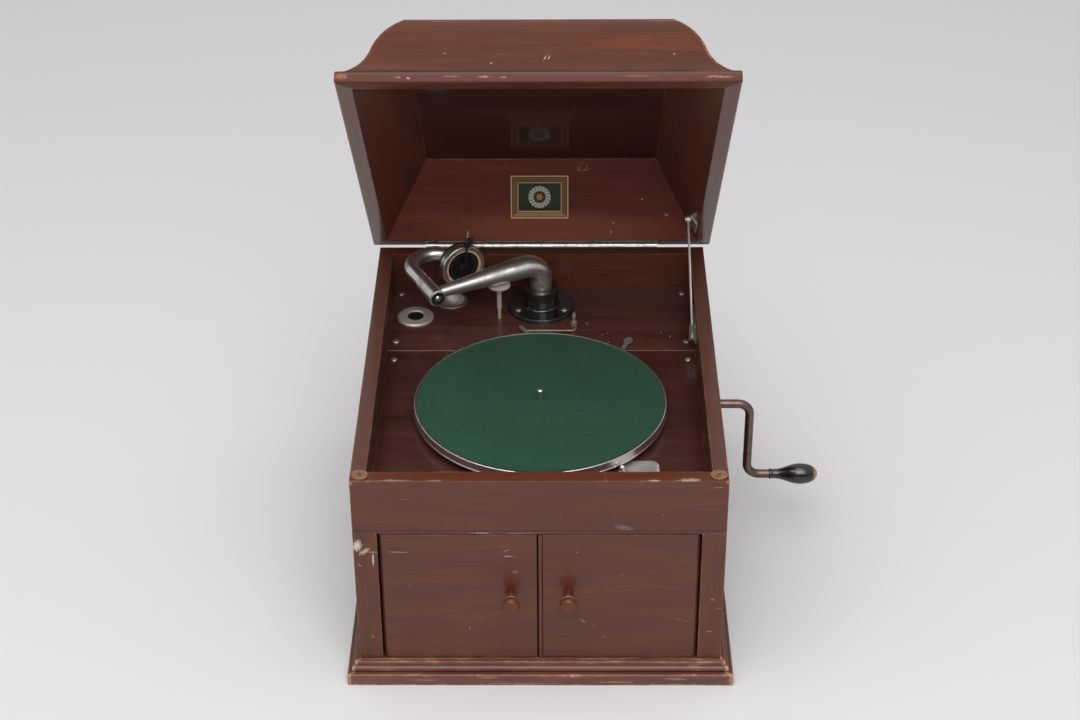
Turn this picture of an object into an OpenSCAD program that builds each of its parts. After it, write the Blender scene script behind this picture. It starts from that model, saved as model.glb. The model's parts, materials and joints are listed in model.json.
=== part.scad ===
// A table gramophone: a mahogany case with two doors over the horn, a hipped
// lid with an ogee moulding on a rod stay, a wind-up motor and a gooseneck arm.
// The origin is on the underside, in the middle of the case. Front is -Y.

/* [Case] */
// Width of the case
case_w = 425; // [405:1:460]
// Depth of the case, front to back
case_d = 523; // [505:1:560]
// Height of the rim above the floor
case_h = 287; // [276:1:310]
// Thickness of the side and back walls
wall_t = 18; // [15:1:20]
// Thickness of the front frame
frame_t = 18; // [17:1:22]
// Thickness of the board that closes the bottom
bottom_t = 12; // [9:1:16]
// Width of each front stile
stile_w = 27.5; // [22:0.5:34]
// Height of the fixed front above the doors
fascia_h = 73.7; // [66:0.1:78]
// Height of the rail under the doors
rail_h = 30; // [26:1:34]
// Height of the moulding round the foot
plinth_h = 28.5; // [24:0.5:34]
// How far the foot moulding stands out
plinth_out = 15; // [12:0.5:18]

/* [Doors] */
// Thickness of each door
door_t = 16; // [12:1:17]
// Gap round each door
door_gap = 1.3; // [0.8:0.1:2.5]
// Radius of the door pins
door_pin_r = 3; // [2:0.1:4]
// How far each pin enters the frame, and the door
door_pin_in = 10; // [6:1:14]
// Width of the bead on the right door
bead_w = 4.6; // [3:0.1:8]
// Distance of the bead from the middle of the front
bead_x = 0.8; // [0:0.1:2]
// Distance from the middle to each knob
knob_x = 33.2; // [20:0.1:60]
// Height of the knobs above the floor
knob_z = 127; // [90:1:170]
// Radius of the flattened ball of a knob
knob_r = 10.3; // [8:0.1:12]
// Half the thickness of that ball
knob_half = 6.5; // [5:0.1:7.5]
// Distance of the ball from the door
knob_out = 22; // [18:0.5:30]
// Angle to which a door opens
door_open = 90; // [60:1:90]

/* [Lid] */
// How far the lid stands over the sides and front
lid_over = 9; // [4:0.5:14]
// How far the lid stands over the back
lid_back = 4.3; // [3:0.1:8]
// Gap between the case rim and the closed lid
lid_gap = 2; // [2:0.1:4]
// Thickness of the lid edge
lid_edge_t = 18; // [15:0.5:22]
// Height inside the lid
lid_inner_h = 93.5; // [80:0.5:110]
// How far the inner faces lean in over that height
lid_lean = 54.5; // [44:0.5:62]
// Height of the square moulding at the lid edge
lid_rim_h = 14.5; // [12:0.5:16]
// Height of the small step between that moulding and the ogee
lid_step_h = 3; // [2:0.5:4]
// Thickness of the top panel
lid_panel_t = 13; // [10.5:0.5:18]
// Angle at which the stay holds the lid
lid_open = 49; // [35:1:60]

/* [Hinge and stay] */
// Length of the piano hinge
hinge_len = 304; // [240:1:340]
// Radius of the hinge barrel
hinge_r = 2.6; // [2.2:0.1:2.8]
// Radius of the hinge pin
hinge_pin_r = 1.2; // [0.8:0.1:1.4]
// Thickness of the hinge leaves
leaf_t = 0.9; // [0.6:0.1:0.95]
// Width of a leaf from the back edge of the case
leaf_w = 11; // [8:0.5:15]
// Length of a hinge knuckle
knuckle_l = 30; // [20:1:40]
// Radius of the stay rod
stay_r = 1.4; // [1:0.1:1.8]
// Distance of the stay's eye from the back edge of the lid
stay_eye_back = 60; // [54:1:66]
// Height of the stay's eye inside the lid
stay_eye_up = 14; // [12:0.5:17]
// Distance of the stay's guide from the back edge of the lid
stay_guide_back = 182; // [172:1:192]
// Height of the stay's guide over the motor board
stay_guide_up = 24.5; // [22:0.5:28]

/* [Motor boards] */
// Depth of the well from the rim to the motor board
well_d = 49.5; // [46:0.5:54]
// Thickness of the motor boards
board_t = 12; // [9:1:14]
// Distance from the front to the seam between the boards
seam_front = 347.5; // [340:0.5:355]
// Size of the bearers under the boards
bearer = 15; // [12:1:18]
// Radius of the bumper discs on the rim
bumper_r = 9.5; // [6:0.5:10]

/* [Turntable] */
// Distance from the front to the spindle
spindle_front = 209; // [200:1:214]
// Radius of the platter
platter_r = 152; // [140:1:154]
// Height of the record surface over the motor board
felt_up = 19.5; // [17:0.5:22]
// Thickness of the felt mat
felt_t = 1.5; // [1:0.1:3]
// Height of the rim of the platter
skirt_h = 10.5; // [8:0.5:11.5]
// Radius of the spindle where the record sits
spindle_r = 3.6; // [3.5:0.05:3.65]
// Height of the spindle over the mat
spindle_up = 14.5; // [10:0.5:18]
// Radius of the motor shaft under the spindle
shaft_r = 5; // [4:0.1:5.4]

/* [Tone arm] */
// Distance from the back to the pivot of the arm
arm_back = 69; // [66:1:76]
// Angle from straight forward to the parked arm
arm_park = 63; // [60:1:65]
// Distance from the pivot to the gooseneck joint
arm_len = 152; // [146:1:156]
// Height of the elbow over the motor board
elbow_up = 66.5; // [64:0.5:70]
// Height of the gooseneck joint over the motor board
joint_up = 61.5; // [60:0.5:64]
// Radius of the arm tube at the elbow
arm_r = 14.2; // [13:0.1:15]
// Radius of the arm tube at the joint
arm_end_r = 7.3; // [6.5:0.1:8]
// Radius of the bend of the elbow
elbow_r = 24; // [20:0.5:27]
// Radius of the gooseneck tube
neck_r = 9.3; // [8.8:0.1:9.8]
// Radius of the gooseneck bend
neck_bend = 31; // [28:0.5:33]
// Length of the gooseneck from the arm to the bend
neck_leg = 62; // [58:0.5:66]
// Angle to which the gooseneck turns forward
neck_turn = 140; // [90:1:142]
// Radius of the base flange
base_r = 43.3; // [38:0.1:46]
// Height of the collar over the flange
collar_h = 26; // [20:0.5:28]

/* [Sound box] */
// Radius of the sound box
box_r = 29.5; // [26:0.1:31]
// Thickness of the sound box
box_t = 16; // [13:0.5:18]
// Distance from the middle of the sound box to the needle point
needle_reach = 52.5; // [48:0.5:56]
// Lean of the needle back from upright
needle_lean = 8.4; // [0:0.1:15]

/* [Crank] */
// Distance from the front to the crank shaft
crank_front = 280; // [275:1:290]
// Depth of the crank shaft under the rim
crank_down = 85; // [80:1:88]
// Radius of the crank rod
crank_r = 5.5; // [4.5:0.1:6]
// Distance from the side to the crank arm
crank_out = 48; // [40:1:60]
// Throw of the crank
crank_throw = 107; // [90:1:120]
// Radius of the upper bend of the crank
crank_bend = 15; // [12:0.5:20]
// Length of the stub between arm and grip
stub_l = 28; // [26:1:36]
// Length of the grip
grip_l = 61; // [50:1:75]
// Largest radius of the grip
grip_r = 13.3; // [11:0.1:16]

/* [Cups, brake, trip and speed] */
// Distance of the used needle cup from the left side
used_cup_side = 50; // [44:0.5:56]
// Distance of the used needle cup from the back
used_cup_back = 95.5; // [90:0.5:100]
// Radius of the used needle cup in the board
used_cup_r = 12.6; // [10:0.1:13]
// Distance of the needle cup from the left side
new_cup_side = 94.5; // [90:0.5:100]
// Distance of the needle cup from the back
new_cup_back = 53; // [50:0.5:56]
// Radius of the needle cup in the board
new_cup_r = 18.5; // [16:0.1:19]
// Distance of the brake's post to the right of the spindle
brake_side = 93; // [88:0.5:96]
// Distance of the brake's post behind the spindle
brake_behind = 111; // [106:0.5:114]
// Distance of the trip's post to the right of the arm's pivot
trip_side = 42; // [40:0.5:46]
// Distance of the trip's post in front of the arm's pivot
trip_ahead = 44; // [42:0.5:46]
// Distance of the speed knob to the right of the spindle
speed_side = 96; // [92:0.5:100]
// Distance of the speed knob in front of the spindle
speed_ahead = 124; // [121:0.5:126]

/* [Horn] */
// Half the width of the horn's mouth
mouth_hw = 166; // [140:1:170]
// Thickness of the horn's sheet metal
horn_t = 1.5; // [1:0.1:3]
// Radius of the horn's throat
throat_r = 14; // [12:0.5:15]
// Thickness of the board round the horn's mouth
baffle_t = 10; // [8:1:14]

/* [Motor] */
// Height between the motor's plates
motor_h = 67.5; // [64:0.5:70]
// Thickness of the motor's plates
motor_plate_t = 5; // [4:0.5:6]
// Radius of the spring barrel
barrel_r = 38; // [30:0.5:40]
// Height of the spring barrel
barrel_h = 22; // [16:0.5:24]
// Module of the gear teeth
gear_m = 1; // [0.9:0.01:1.02]
// Teeth of both pinions
pinion_n = 12; // [12:1:12]
// Teeth of the barrel wheel
barrel_n = 96; // [96:1:96]
// Teeth of the middle wheel
middle_n = 84; // [84:1:84]
// Teeth of the wheel that drives the governor
governor_n = 40; // [40:1:40]

/* [Fits] */
// Radial clearance of shafts and pins in their bores
run_fit = 0.06; // [0.04:0.01:0.1]
// Gap between pieces that slide past each other
slide_gap = 0.3; // [0.2:0.05:0.5]

/* [Hidden] */
$fn = 64;

front_y = -case_d / 2;
rear_y = case_d / 2;
side_x = case_w / 2;
inner_x = side_x - wall_t;
inner_front_y = front_y + frame_t;
inner_rear_y = rear_y - wall_t;
fascia_z = case_h - fascia_h;
board_z = case_h - well_d;
under_board_z = board_z - board_t;
seam_y = front_y + seam_front;
board_gap = 0.3;
door_x = side_x - stile_w;

// A rail of wood with its corner at p.
module plank(p, size) {
    translate(p) cube(size);
}

// A round bar along X, from x0 to x1.
module bar_x(x0, x1, r, y, z) {
    translate([x0, y, z]) rotate([0, 90, 0]) cylinder(h = x1 - x0, r = r);
}

// Points of an arc from p to q that leaves p at angle a0.
function bow(p, q, a0, n) =
    let (d = q - p, k = atan2(d[1], d[0]) - a0)
    [for (i = [0:n]) let (t = i / n, a = a0 + k * t)
        p + norm(d) * sin(k * t) / sin(k) * [cos(a), sin(a)]];

// Both of a thing: as it is, and mirrored to the other side.
module both_sides() {
    children();
    mirror([1, 0, 0]) children();
}

// ---------------------------------------------------------------- the case

crank_y = front_y + crank_front;
crank_z = case_h - crank_down;
bush_r = crank_r + 3;

module side_left() {
    color("#5a2a20") plank([-side_x, inner_front_y, 0],
        [wall_t, case_d - frame_t, case_h]);
}

module side_right() {
    color("#5a2a20") difference() {
        plank([inner_x, inner_front_y, 0], [wall_t, case_d - frame_t, case_h]);
        bar_x(inner_x - 1, side_x + 1, bush_r, crank_y, crank_z);
    }
}

module back_panel() {
    color("#4d241b") plank([-inner_x, inner_rear_y, 0],
        [2 * inner_x, wall_t, case_h]);
}

door_edge_x = door_x - door_gap;
door_r = door_t / 2;
door_pin_x = door_edge_x - door_r;
door_pin_y = front_y + door_r;
door_z0 = rail_h + door_gap;
door_z1 = fascia_z - door_gap;

// The bores that the door pins turn in, above and below the doors.
module door_pin_bores() {
    both_sides() {
        translate([door_pin_x, door_pin_y, fascia_z - 1])
            cylinder(h = door_pin_in + 1.5 - door_gap, r = door_pin_r + 0.03);
        translate([door_pin_x, door_pin_y, rail_h - door_pin_in + door_gap - 0.5])
            cylinder(h = door_pin_in + 1, r = door_pin_r + 0.03);
    }
}

module front_fascia() {
    color("#66342a") difference() {
        plank([-side_x, front_y, fascia_z], [case_w, frame_t, fascia_h]);
        door_pin_bores();
    }
}

// The stiles at the sides of the doors and the rail under them.
module door_frame() {
    color("#66342a") {
        both_sides() plank([door_x, front_y, 0], [stile_w, frame_t, fascia_z]);
        difference() {
            plank([-door_x, front_y, 0], [2 * door_x, frame_t, rail_h]);
            door_pin_bores();
        }
    }
}

module bottom_board() {
    color("#6e4a30") plank([-inner_x, inner_front_y, 0],
        [2 * inner_x, inner_rear_y - inner_front_y, bottom_t]);
}

// Section of the foot moulding: x outwards, y up. A small ovolo, a bead and
// a tall rounded board.
bead_r = 3.6;
module plinth_section() {
    board_h = plinth_h * 0.53;
    ovolo_out = plinth_out * 0.4;
    edge_r = 2.4;
    square([plinth_out - edge_r, board_h]);
    square([plinth_out, board_h - edge_r]);
    translate([plinth_out - edge_r, board_h - edge_r]) circle(edge_r);
    square([ovolo_out - 0.6, plinth_h]);
    translate([ovolo_out - 2.2, plinth_h - 2.2]) circle(2.2);
    translate([0, plinth_h - 4.4]) square([ovolo_out, 2.2]);
    translate([plinth_out * 0.65 - bead_r, plinth_h * 0.68]) circle(bead_r);
}

// A straight run of the moulding along X with its back face on y = 0.
module plinth_run(length) {
    rotate([90, 0, 90]) linear_extrude(length) mirror([1, 0]) plinth_section();
}

module plinth_front() {
    reach = side_x + plinth_out;
    color("#5c2c22") translate([0, front_y, 0]) intersection() {
        translate([-reach, 0, 0]) plinth_run(2 * reach);
        linear_extrude(plinth_h) polygon([
            [-side_x, 0], [side_x, 0], [reach, -plinth_out], [-reach, -plinth_out]
        ]);
    }
}

module plinth_side() {
    reach = front_y - plinth_out;
    intersection() {
        translate([side_x, reach, 0]) rotate([0, 0, 90])
            plinth_run(rear_y - reach);
        linear_extrude(plinth_h) polygon([
            [side_x, rear_y], [side_x, front_y],
            [side_x + plinth_out, reach], [side_x + plinth_out, rear_y]
        ]);
    }
}

module plinth_sides() {
    color("#5c2c22") both_sides() plinth_side();
}

// --------------------------------------------------------- doors and knobs

// A door leaf with a rounded hinge edge, between its middle edge x0 and the
// stile. The right-hand one; the left is mirrored.
module door_leaf(x0) {
    edge = 1.2;
    difference() {
        translate([0, 0, door_z0]) linear_extrude(door_z1 - door_z0) {
            translate([x0, front_y + edge])
                square([door_pin_x - x0, door_t - edge]);
            translate([x0 + edge, front_y])
                square([door_pin_x - x0 - edge, edge]);
            translate([x0 + edge, front_y + edge]) circle(edge);
            translate([door_pin_x, door_pin_y]) circle(door_r);
        }
        for (z = [door_z0 - 1, door_z1 - door_pin_in])
            translate([door_pin_x, door_pin_y, z])
                cylinder(h = door_pin_in + 1, r = door_pin_r + run_fit);
        translate([knob_x, front_y, knob_z]) rotate([-90, 0, 0])
            translate([0, 0, -1]) cylinder(h = knob_spigot + 1.5,
                r = knob_spigot_r + 0.03);
    }
}

module door_left() {
    color("#693529") mirror([1, 0, 0]) door_leaf(door_gap + bead_w / 2 - bead_x);
}

module door_right() {
    color("#693529") door_leaf(bead_x + bead_w / 2);
}

// The bead that covers the joint, planted on the edge of the right door.
module door_bead() {
    color("#5c2c22") translate([bead_x, 0, door_z0])
        linear_extrude(door_z1 - door_z0) {
            translate([-bead_w / 2, front_y]) square([bead_w, door_t]);
            translate([0, front_y]) circle(bead_w / 2);
        }
}

knob_spigot = 10;
knob_spigot_r = 3;
knob_neck_r = 5;
knob_foot_r = 6.6;
knob_foot_h = 3;
knob_ring_r = 7.2;
knob_ring_h = 2.4;

// Section of a turned knob: x is the radius, y the distance from the door.
module knob_section() {
    ball_y = knob_out - knob_half;
    crown_r = knob_r - knob_half;
    ring_y = ball_y - knob_ring_h - 0.8;
    intersection() {
        union() {
            translate([0, -knob_spigot]) square([knob_spigot_r, knob_spigot + 1]);
            square([knob_foot_r - 1, knob_foot_h]);
            translate([0, 1]) square([knob_foot_r, knob_foot_h - 1.8]);
            square([knob_neck_r, knob_out]);
            translate([0, ring_y]) square([knob_ring_r - knob_ring_h / 2, knob_ring_h]);
            translate([knob_ring_r - knob_ring_h / 2, ring_y + knob_ring_h / 2])
                circle(knob_ring_h / 2);
            translate([0, ball_y]) square([crown_r, 2 * knob_half]);
            translate([crown_r, knob_out]) circle(knob_half);
        }
        translate([0, -knob_spigot]) square([2 * knob_r, 3 * knob_out]);
    }
}

module knob(x) {
    translate([x, front_y, knob_z]) rotate([90, 0, 0])
        rotate_extrude() knob_section();
}

module door_pin_pair() {
    collar_h = door_gap - 0.2;
    for (end = [0, 1]) {
        z = end == 0 ? door_z0 - door_pin_in : door_z1 - door_pin_in + 0.2;
        translate([door_pin_x, door_pin_y, z])
            cylinder(h = 2 * door_pin_in - 0.2, r = door_pin_r);
    }
    translate([door_pin_x, door_pin_y, door_z0 - collar_h])
        cylinder(h = collar_h, r = door_pin_r + 2);
}

// ------------------------------------------------------------ motor boards

board_front_y = inner_front_y + board_gap;
board_rear_y = inner_rear_y - board_gap;
board_x = inner_x - board_gap;
screw_in = 10;
screw_r = 1.8;
seam_inset = 21;

// Places of the screws that hold the boards.
screw_places = [for (y = [inner_front_y + 17, seam_y - seam_inset,
    seam_y + seam_inset, inner_rear_y - 19], s = [-1, 1])
    [s * (inner_x - screw_in), y]];

module screw_holes(z, h) {
    for (p = screw_places) translate([p[0], p[1], z])
        cylinder(h = h, r = screw_r + run_fit);
}

// A screw with a domed head, its seat at height 0: the dome is part of a ball.
module domed_screw(head_r, edge_h, ball_r, ball_low, shank) {
    rotate_extrude() intersection() {
        union() {
            translate([0, -shank]) square([screw_r, shank + 0.5]);
            square([head_r, edge_h]);
            translate([0, -ball_low]) circle(ball_r);
        }
        union() {
            square([head_r, ball_r]);
            translate([0, -shank]) square([screw_r, shank + 1]);
        }
    }
}

module board_screws() {
    head_r = 4.4;
    color("#b8ad98") for (p = screw_places) translate([p[0], p[1], board_z])
        domed_screw(head_r, 0.8, head_r + 1, 2.6, board_t + bearer * 0.7);
}

module board_bearers() {
    z = under_board_z - bearer;
    y0 = inner_front_y + baffle_t;
    color("#7b5436") difference() {
        union() {
            both_sides() plank([inner_x - bearer - 4, y0, z],
                [bearer + 4, inner_rear_y - y0, bearer]);
            plank([-inner_x, seam_y - bearer / 2, z],
                [2 * inner_x, bearer, bearer]);
        }
        screw_holes(z, bearer + 1);
    }
}

module horn_baffle() {
    color("#3b1d16") difference() {
        plank([-inner_x, inner_front_y, bottom_t],
            [2 * inner_x, baffle_t, under_board_z - bottom_t]);
        translate([0, inner_front_y - 1, 0]) rotate([90, 0, 0])
            mirror([0, 0, 1]) linear_extrude(baffle_t + 2)
                horn_ring_shape(horn_mouth);
    }
}

spindle_y = front_y + spindle_front;
arm_y = rear_y - arm_back;
hub_r = 13;

module front_motor_board() {
    color("#4a2018") difference() {
        plank([-board_x, board_front_y, under_board_z],
            [2 * board_x, seam_y - board_gap - board_front_y, board_t]);
        translate([0, spindle_y, under_board_z - 1])
            cylinder(h = board_t + 2, r = hub_r + 3);
        screw_holes(under_board_z - 1, board_t + 2);
        board_post_holes();
    }
}

module rear_motor_board() {
    color("#4a2018") difference() {
        plank([-board_x, seam_y + board_gap, under_board_z],
            [2 * board_x, board_rear_y - seam_y - board_gap, board_t]);
        translate([0, arm_y, under_board_z - 1])
            cylinder(h = board_t + 2, r = throat_r + 4);
        for (c = [used_cup, new_cup])
            translate([c[0], c[1], under_board_z - 1])
                cylinder(h = board_t + 2, r = c[2] + 0.1);
        screw_holes(under_board_z - 1, board_t + 2);
        at_base_screws() translate([0, 0, under_board_z])
            cylinder(h = board_t + 1, r = screw_r + run_fit);
        board_post_holes();
    }
}

// Rubbing discs in the front corners of the rim, and the holes in them.
module lid_bumpers() {
    in_x = inner_x + 7;
    bumper_h = lid_gap - 0.5;
    color("#9a6a44") both_sides()
        translate([in_x, front_y + bumper_r + 1, case_h]) difference() {
            cylinder(h = bumper_h, r = bumper_r);
            translate([0, 0, bumper_h / 2]) cylinder(h = bumper_h, r = 2);
        }
}

// ----------------------------------------------------------------- the lid

lid_w = case_w + 2 * lid_over;
lid_front_y = front_y - lid_over;
lid_rear_y = rear_y + lid_back;
lid_d = lid_rear_y - lid_front_y;
lid_z = case_h + lid_gap;
hinge_y = rear_y + hinge_r + 0.6;
hinge_z = case_h + lid_gap / 2;
step_in = 8.5;
ogee_in = step_in + 1.6;
ogee_low = lid_rim_h + lid_step_h;
ogee_top_in = lid_edge_t + lid_lean - 6;
ogee_top = lid_inner_h + 10;
ogee_mid = [ogee_in + (ogee_top_in - ogee_in) * 0.43,
    ogee_low + (ogee_top - ogee_low) * 0.4];

// Turns what is modelled closed to where the stay holds it open.
module opened() {
    translate([0, hinge_y, hinge_z]) rotate([-lid_open, 0, 0])
        translate([0, -hinge_y, -hinge_z]) children();
}

// Section of a lid wall: x inwards from the outer face, y up.
lid_section = concat(
    [[lid_edge_t, 0], [1.2, 0], [0, 1.2]],
    bow([0, lid_rim_h - 4], [4, lid_rim_h], 90, 5),
    [[step_in, lid_rim_h], [step_in, ogee_low - 0.6], [step_in + 0.6, ogee_low]],
    bow([ogee_in, ogee_low + 0.3], ogee_mid, 39, 9),
    bow(ogee_mid, [ogee_top_in, ogee_top], 74, 9),
    [[ogee_top_in, lid_inner_h], [lid_edge_t + lid_lean, lid_inner_h]]
);

// One mitred wall of the lid, lying at the front, of the given length.
module lid_wall(length) {
    depth = lid_edge_t + lid_lean + 2;
    intersection() {
        translate([-length / 2, 0, 0]) rotate([90, 0, 90])
            linear_extrude(length) polygon(lid_section);
        linear_extrude(ogee_top) polygon([
            [-length / 2, 0], [length / 2, 0],
            [length / 2 - depth, depth], [depth - length / 2, depth]
        ]);
    }
}

module lid_front() {
    color("#5f2d22") opened() translate([0, lid_front_y, lid_z]) lid_wall(lid_w);
}

module lid_rear() {
    color("#5f2d22") opened() difference() {
        translate([0, lid_rear_y, lid_z]) rotate([0, 0, 180]) lid_wall(lid_w);
        bar_x(-hinge_len / 2 - 1, hinge_len / 2 + 1, hinge_r + 0.5,
            hinge_y, hinge_z);
    }
}

module lid_side() {
    translate([lid_w / 2, (lid_front_y + lid_rear_y) / 2, lid_z])
        rotate([0, 0, 90]) lid_wall(lid_d);
}

module lid_left() {
    color("#5f2d22") opened() mirror([1, 0, 0]) lid_side();
}

module lid_right() {
    color("#5f2d22") opened() lid_side();
}

module lid_top() {
    bevel = 3;
    w = lid_w - 2 * ogee_top_in;
    d = lid_d - 2 * ogee_top_in;
    color("#632f24") opened()
        translate([0, (lid_front_y + lid_rear_y) / 2, lid_z + lid_inner_h]) {
            translate([-w / 2, -d / 2, 0]) cube([w, d, lid_panel_t - bevel]);
            intersection() {
                translate([-w / 2, 0, 0]) rotate([90, 0, 90])
                    linear_extrude(w) panel_section(d, bevel);
                translate([0, d / 2, 0]) rotate([90, 0, 0])
                    linear_extrude(d) panel_section(w, bevel);
            }
        }
}

// Upper part of the top panel with its worn, sloping edges.
module panel_section(w, bevel) {
    h = lid_panel_t;
    polygon([[-w / 2, h - bevel - 1], [w / 2, h - bevel - 1],
        [w / 2, h - bevel], [w / 2 - bevel, h],
        [bevel - w / 2, h], [-w / 2, h - bevel]]);
}

// ------------------------------------------------------------ piano hinge

knuckle_n = 2 * floor(hinge_len / knuckle_l / 2) + 1;
knuckle_mid = (knuckle_n - 1) / 2;

// Ends of knuckle i, counted from the left. Only the end ones are short.
function knuckle_x0(i) = max(-hinge_len / 2, (i - knuckle_mid - 0.5) * knuckle_l);
function knuckle_x1(i) = min(hinge_len / 2, (i - knuckle_mid + 0.5) * knuckle_l);
knuckle_list = [for (i = [-1:knuckle_n]) if (knuckle_x1(i) - knuckle_x0(i) > 4) i];

// The knuckles of one leaf: parity 0 for the case, 1 for the lid.
module knuckles(parity, r, extra) {
    for (i = knuckle_list) if (abs(i) % 2 == parity)
        bar_x(knuckle_x0(i) + 0.15 - extra, knuckle_x1(i) - 0.15 + extra, r,
            hinge_y, hinge_z);
}

module hinge_leaf(parity, z) {
    difference() {
        union() {
            plank([-hinge_len / 2, rear_y - leaf_w, z],
                [hinge_len, leaf_w + hinge_r + 0.6, leaf_t]);
            knuckles(parity, hinge_r, 0);
        }
        knuckles(1 - parity, hinge_r + 0.25, 0.15);
        bar_x(-hinge_len / 2 - 1, hinge_len / 2 + 1, hinge_pin_r + run_fit,
            hinge_y, hinge_z);
    }
}

module hinge_case_leaf() {
    color("#b9a682") hinge_leaf(1, case_h);
}

module hinge_lid_leaf() {
    color("#b9a682") opened() hinge_leaf(0, lid_z - leaf_t);
}

module hinge_pin() {
    color("#8f8a80") bar_x(-hinge_len / 2, hinge_len / 2, hinge_pin_r,
        hinge_y, hinge_z);
}

// ---------------------------------------------------------------- lid stay

// Place of a point of the closed lid once the lid is open, as [y, z].
function opened_point(y, z) =
    let (dy = y - hinge_y, dz = z - hinge_z, a = -lid_open)
    [hinge_y + dy * cos(a) - dz * sin(a), hinge_z + dy * sin(a) + dz * cos(a)];

stay_x = inner_x - 4.5;
eye_closed = [lid_rear_y - stay_eye_back, lid_z + stay_eye_up];
eye_open = opened_point(eye_closed[0], eye_closed[1]);
guide = [lid_rear_y - stay_guide_back, board_z + stay_guide_up];
stay_fall = atan2(eye_open[1] - guide[1], eye_open[0] - guide[0]);
stay_l = norm(eye_open - guide) + 5;
eye_bore = 2;
eye_r = 4.6;
eye_t = 3.4;
boss_r = 3.2;
guide_slot_low = 3.4;
guide_slot_high = 11;

module stay_rod() {
    color("#8d8880") translate([stay_x, eye_open[0], eye_open[1]])
        rotate([stay_fall, 0, 0]) {
            rotate([0, 90, 0]) difference() {
                cylinder(h = eye_t, r = eye_r, center = true);
                cylinder(h = 2 * eye_t, r = eye_bore, center = true);
            }
            translate([0, 1 - eye_r, 0]) rotate([90, 0, 0])
                cylinder(h = stay_l + 1 - eye_r, r = stay_r);
        }
}

// Slotted guide on a plate on the right wall; the rod slides through it.
module stay_guide() {
    plate_t = 1.8;
    slot_r = stay_r + 0.6;
    color("#77716a") {
        plank([inner_x - plate_t, guide[0] - 8, guide[1] - 8],
            [plate_t, 62, 21]);
        difference() {
            plank([stay_x - 4, guide[0] - 2, guide[1] - guide_slot_low - 3],
                [inner_x - stay_x + 4 - plate_t / 2, 4,
                guide_slot_low + guide_slot_high + 6]);
            guide_slot(slot_r, guide[1] - guide_slot_low + slot_r,
                guide[1] + guide_slot_high - slot_r);
        }
    }
}

// An upright slot with round ends through the guide.
module guide_slot(r, z0, z1) {
    translate([stay_x, guide[0] + 3, 0]) rotate([90, 0, 0])
        linear_extrude(6) {
            translate([-r, z0]) square([2 * r, z1 - z0]);
            translate([0, z0]) circle(r);
            translate([0, z1]) circle(r);
        }
}

lid_lean_angle = atan(lid_lean / lid_inner_h);
function lid_inner_x(up) = lid_w / 2 - lid_edge_t - up * lid_lean / lid_inner_h;

// Plate on the sloping inner wall of the lid, with the pin for the stay.
module stay_bracket() {
    wall_x = lid_inner_x(stay_eye_up);
    plate_t = 1.6;
    boss_x = wall_x - boss_r * tan(lid_lean_angle);
    color("#77716a") opened() {
        translate([wall_x, eye_closed[0], eye_closed[1]])
            rotate([0, -lid_lean_angle, 0]) plank([-plate_t - 0.05, -9, -12],
                [plate_t, 34, 14.4]);
        bar_x(stay_x - eye_t / 2 - 2.2, boss_x, eye_bore - run_fit,
            eye_closed[0], eye_closed[1]);
        bar_x(stay_x - eye_t / 2 - 2.2, stay_x - eye_t / 2 - slide_gap, 3.4,
            eye_closed[0], eye_closed[1]);
        bar_x(stay_x + eye_t / 2 + slide_gap, boss_x, boss_r,
            eye_closed[0], eye_closed[1]);
    }
}

// --------------------------------------------------------------- turntable

felt_z = board_z + felt_up;
platter_z = felt_z - felt_t;
sheet_t = 1.6;
hub_bottom = board_z + 1.5;

// The pressed platter with its hub, its rolled foot and a lip round the mat.
module platter() {
    lip = 1;
    foot_z = platter_z - skirt_h;
    foot_r = platter_r + 0.5;
    inner_r = platter_r - sheet_t;
    bore = shaft_r + 0.03;
    color("#a9a294") translate([0, spindle_y, 0]) rotate_extrude($fn = 128) polygon([
        [bore, hub_bottom], [hub_r, hub_bottom], [hub_r, platter_z - sheet_t],
        [inner_r, platter_z - sheet_t], [inner_r, foot_z], [foot_r, foot_z],
        [foot_r, foot_z + 1.6], [platter_r, foot_z + 2.1],
        [platter_r, platter_z + lip - 0.8], [platter_r - 0.3, platter_z + lip - 0.3],
        [platter_r - 0.9, platter_z + lip], [inner_r, platter_z + lip],
        [inner_r - sheet_t, platter_z], [bore, platter_z]
    ]);
}

felt_r = platter_r - 2 * sheet_t - 0.4;

module felt_mat() {
    color("#2c4a3a") translate([0, spindle_y, platter_z]) difference() {
        cylinder(h = felt_t, r = felt_r, $fn = 128);
        translate([0, 0, -1]) cylinder(h = felt_t + 2, r = shaft_r + 0.6);
    }
}

// ------------------------------------------------- gears and spring motor

frame_top = under_board_z;
plate_z1 = frame_top - motor_plate_t;
plate_z0 = plate_z1 - motor_h;
motor_x0 = -72;
motor_x1 = 96;
motor_y0 = spindle_y - 54;
motor_y1 = crank_y + 52;
pivot_r = 2.5;
mesh_in = gear_m * (pinion_n + middle_n) / 2;
mesh_out = gear_m * (pinion_n + barrel_n) / 2;
barrel_at = [40, crank_y];
spindle_at = [0, spindle_y];
// The middle arbor stands where both of its meshes close.
span = norm(barrel_at - spindle_at);
along = (mesh_in ^ 2 - mesh_out ^ 2 + span ^ 2) / (2 * span);
across = sqrt(mesh_in ^ 2 - along ^ 2);
toward = (barrel_at - spindle_at) / span;
middle_at = spindle_at + along * toward + across * [-toward[1], toward[0]];
function bearing(a, b) = atan2(b[1] - a[1], b[0] - a[0]);

// Outline of a gear with n teeth between two radii, one tooth on +X.
module gear_shape(n, root, tip) {
    pitch = 360 / n;
    polygon([
        for (i = [0:n - 1], c = [[root, -0.27], [tip, -0.1], [tip, 0.1], [root, 0.27]])
            c[0] * [cos((i + c[1]) * pitch), sin((i + c[1]) * pitch)]
    ]);
}

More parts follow.
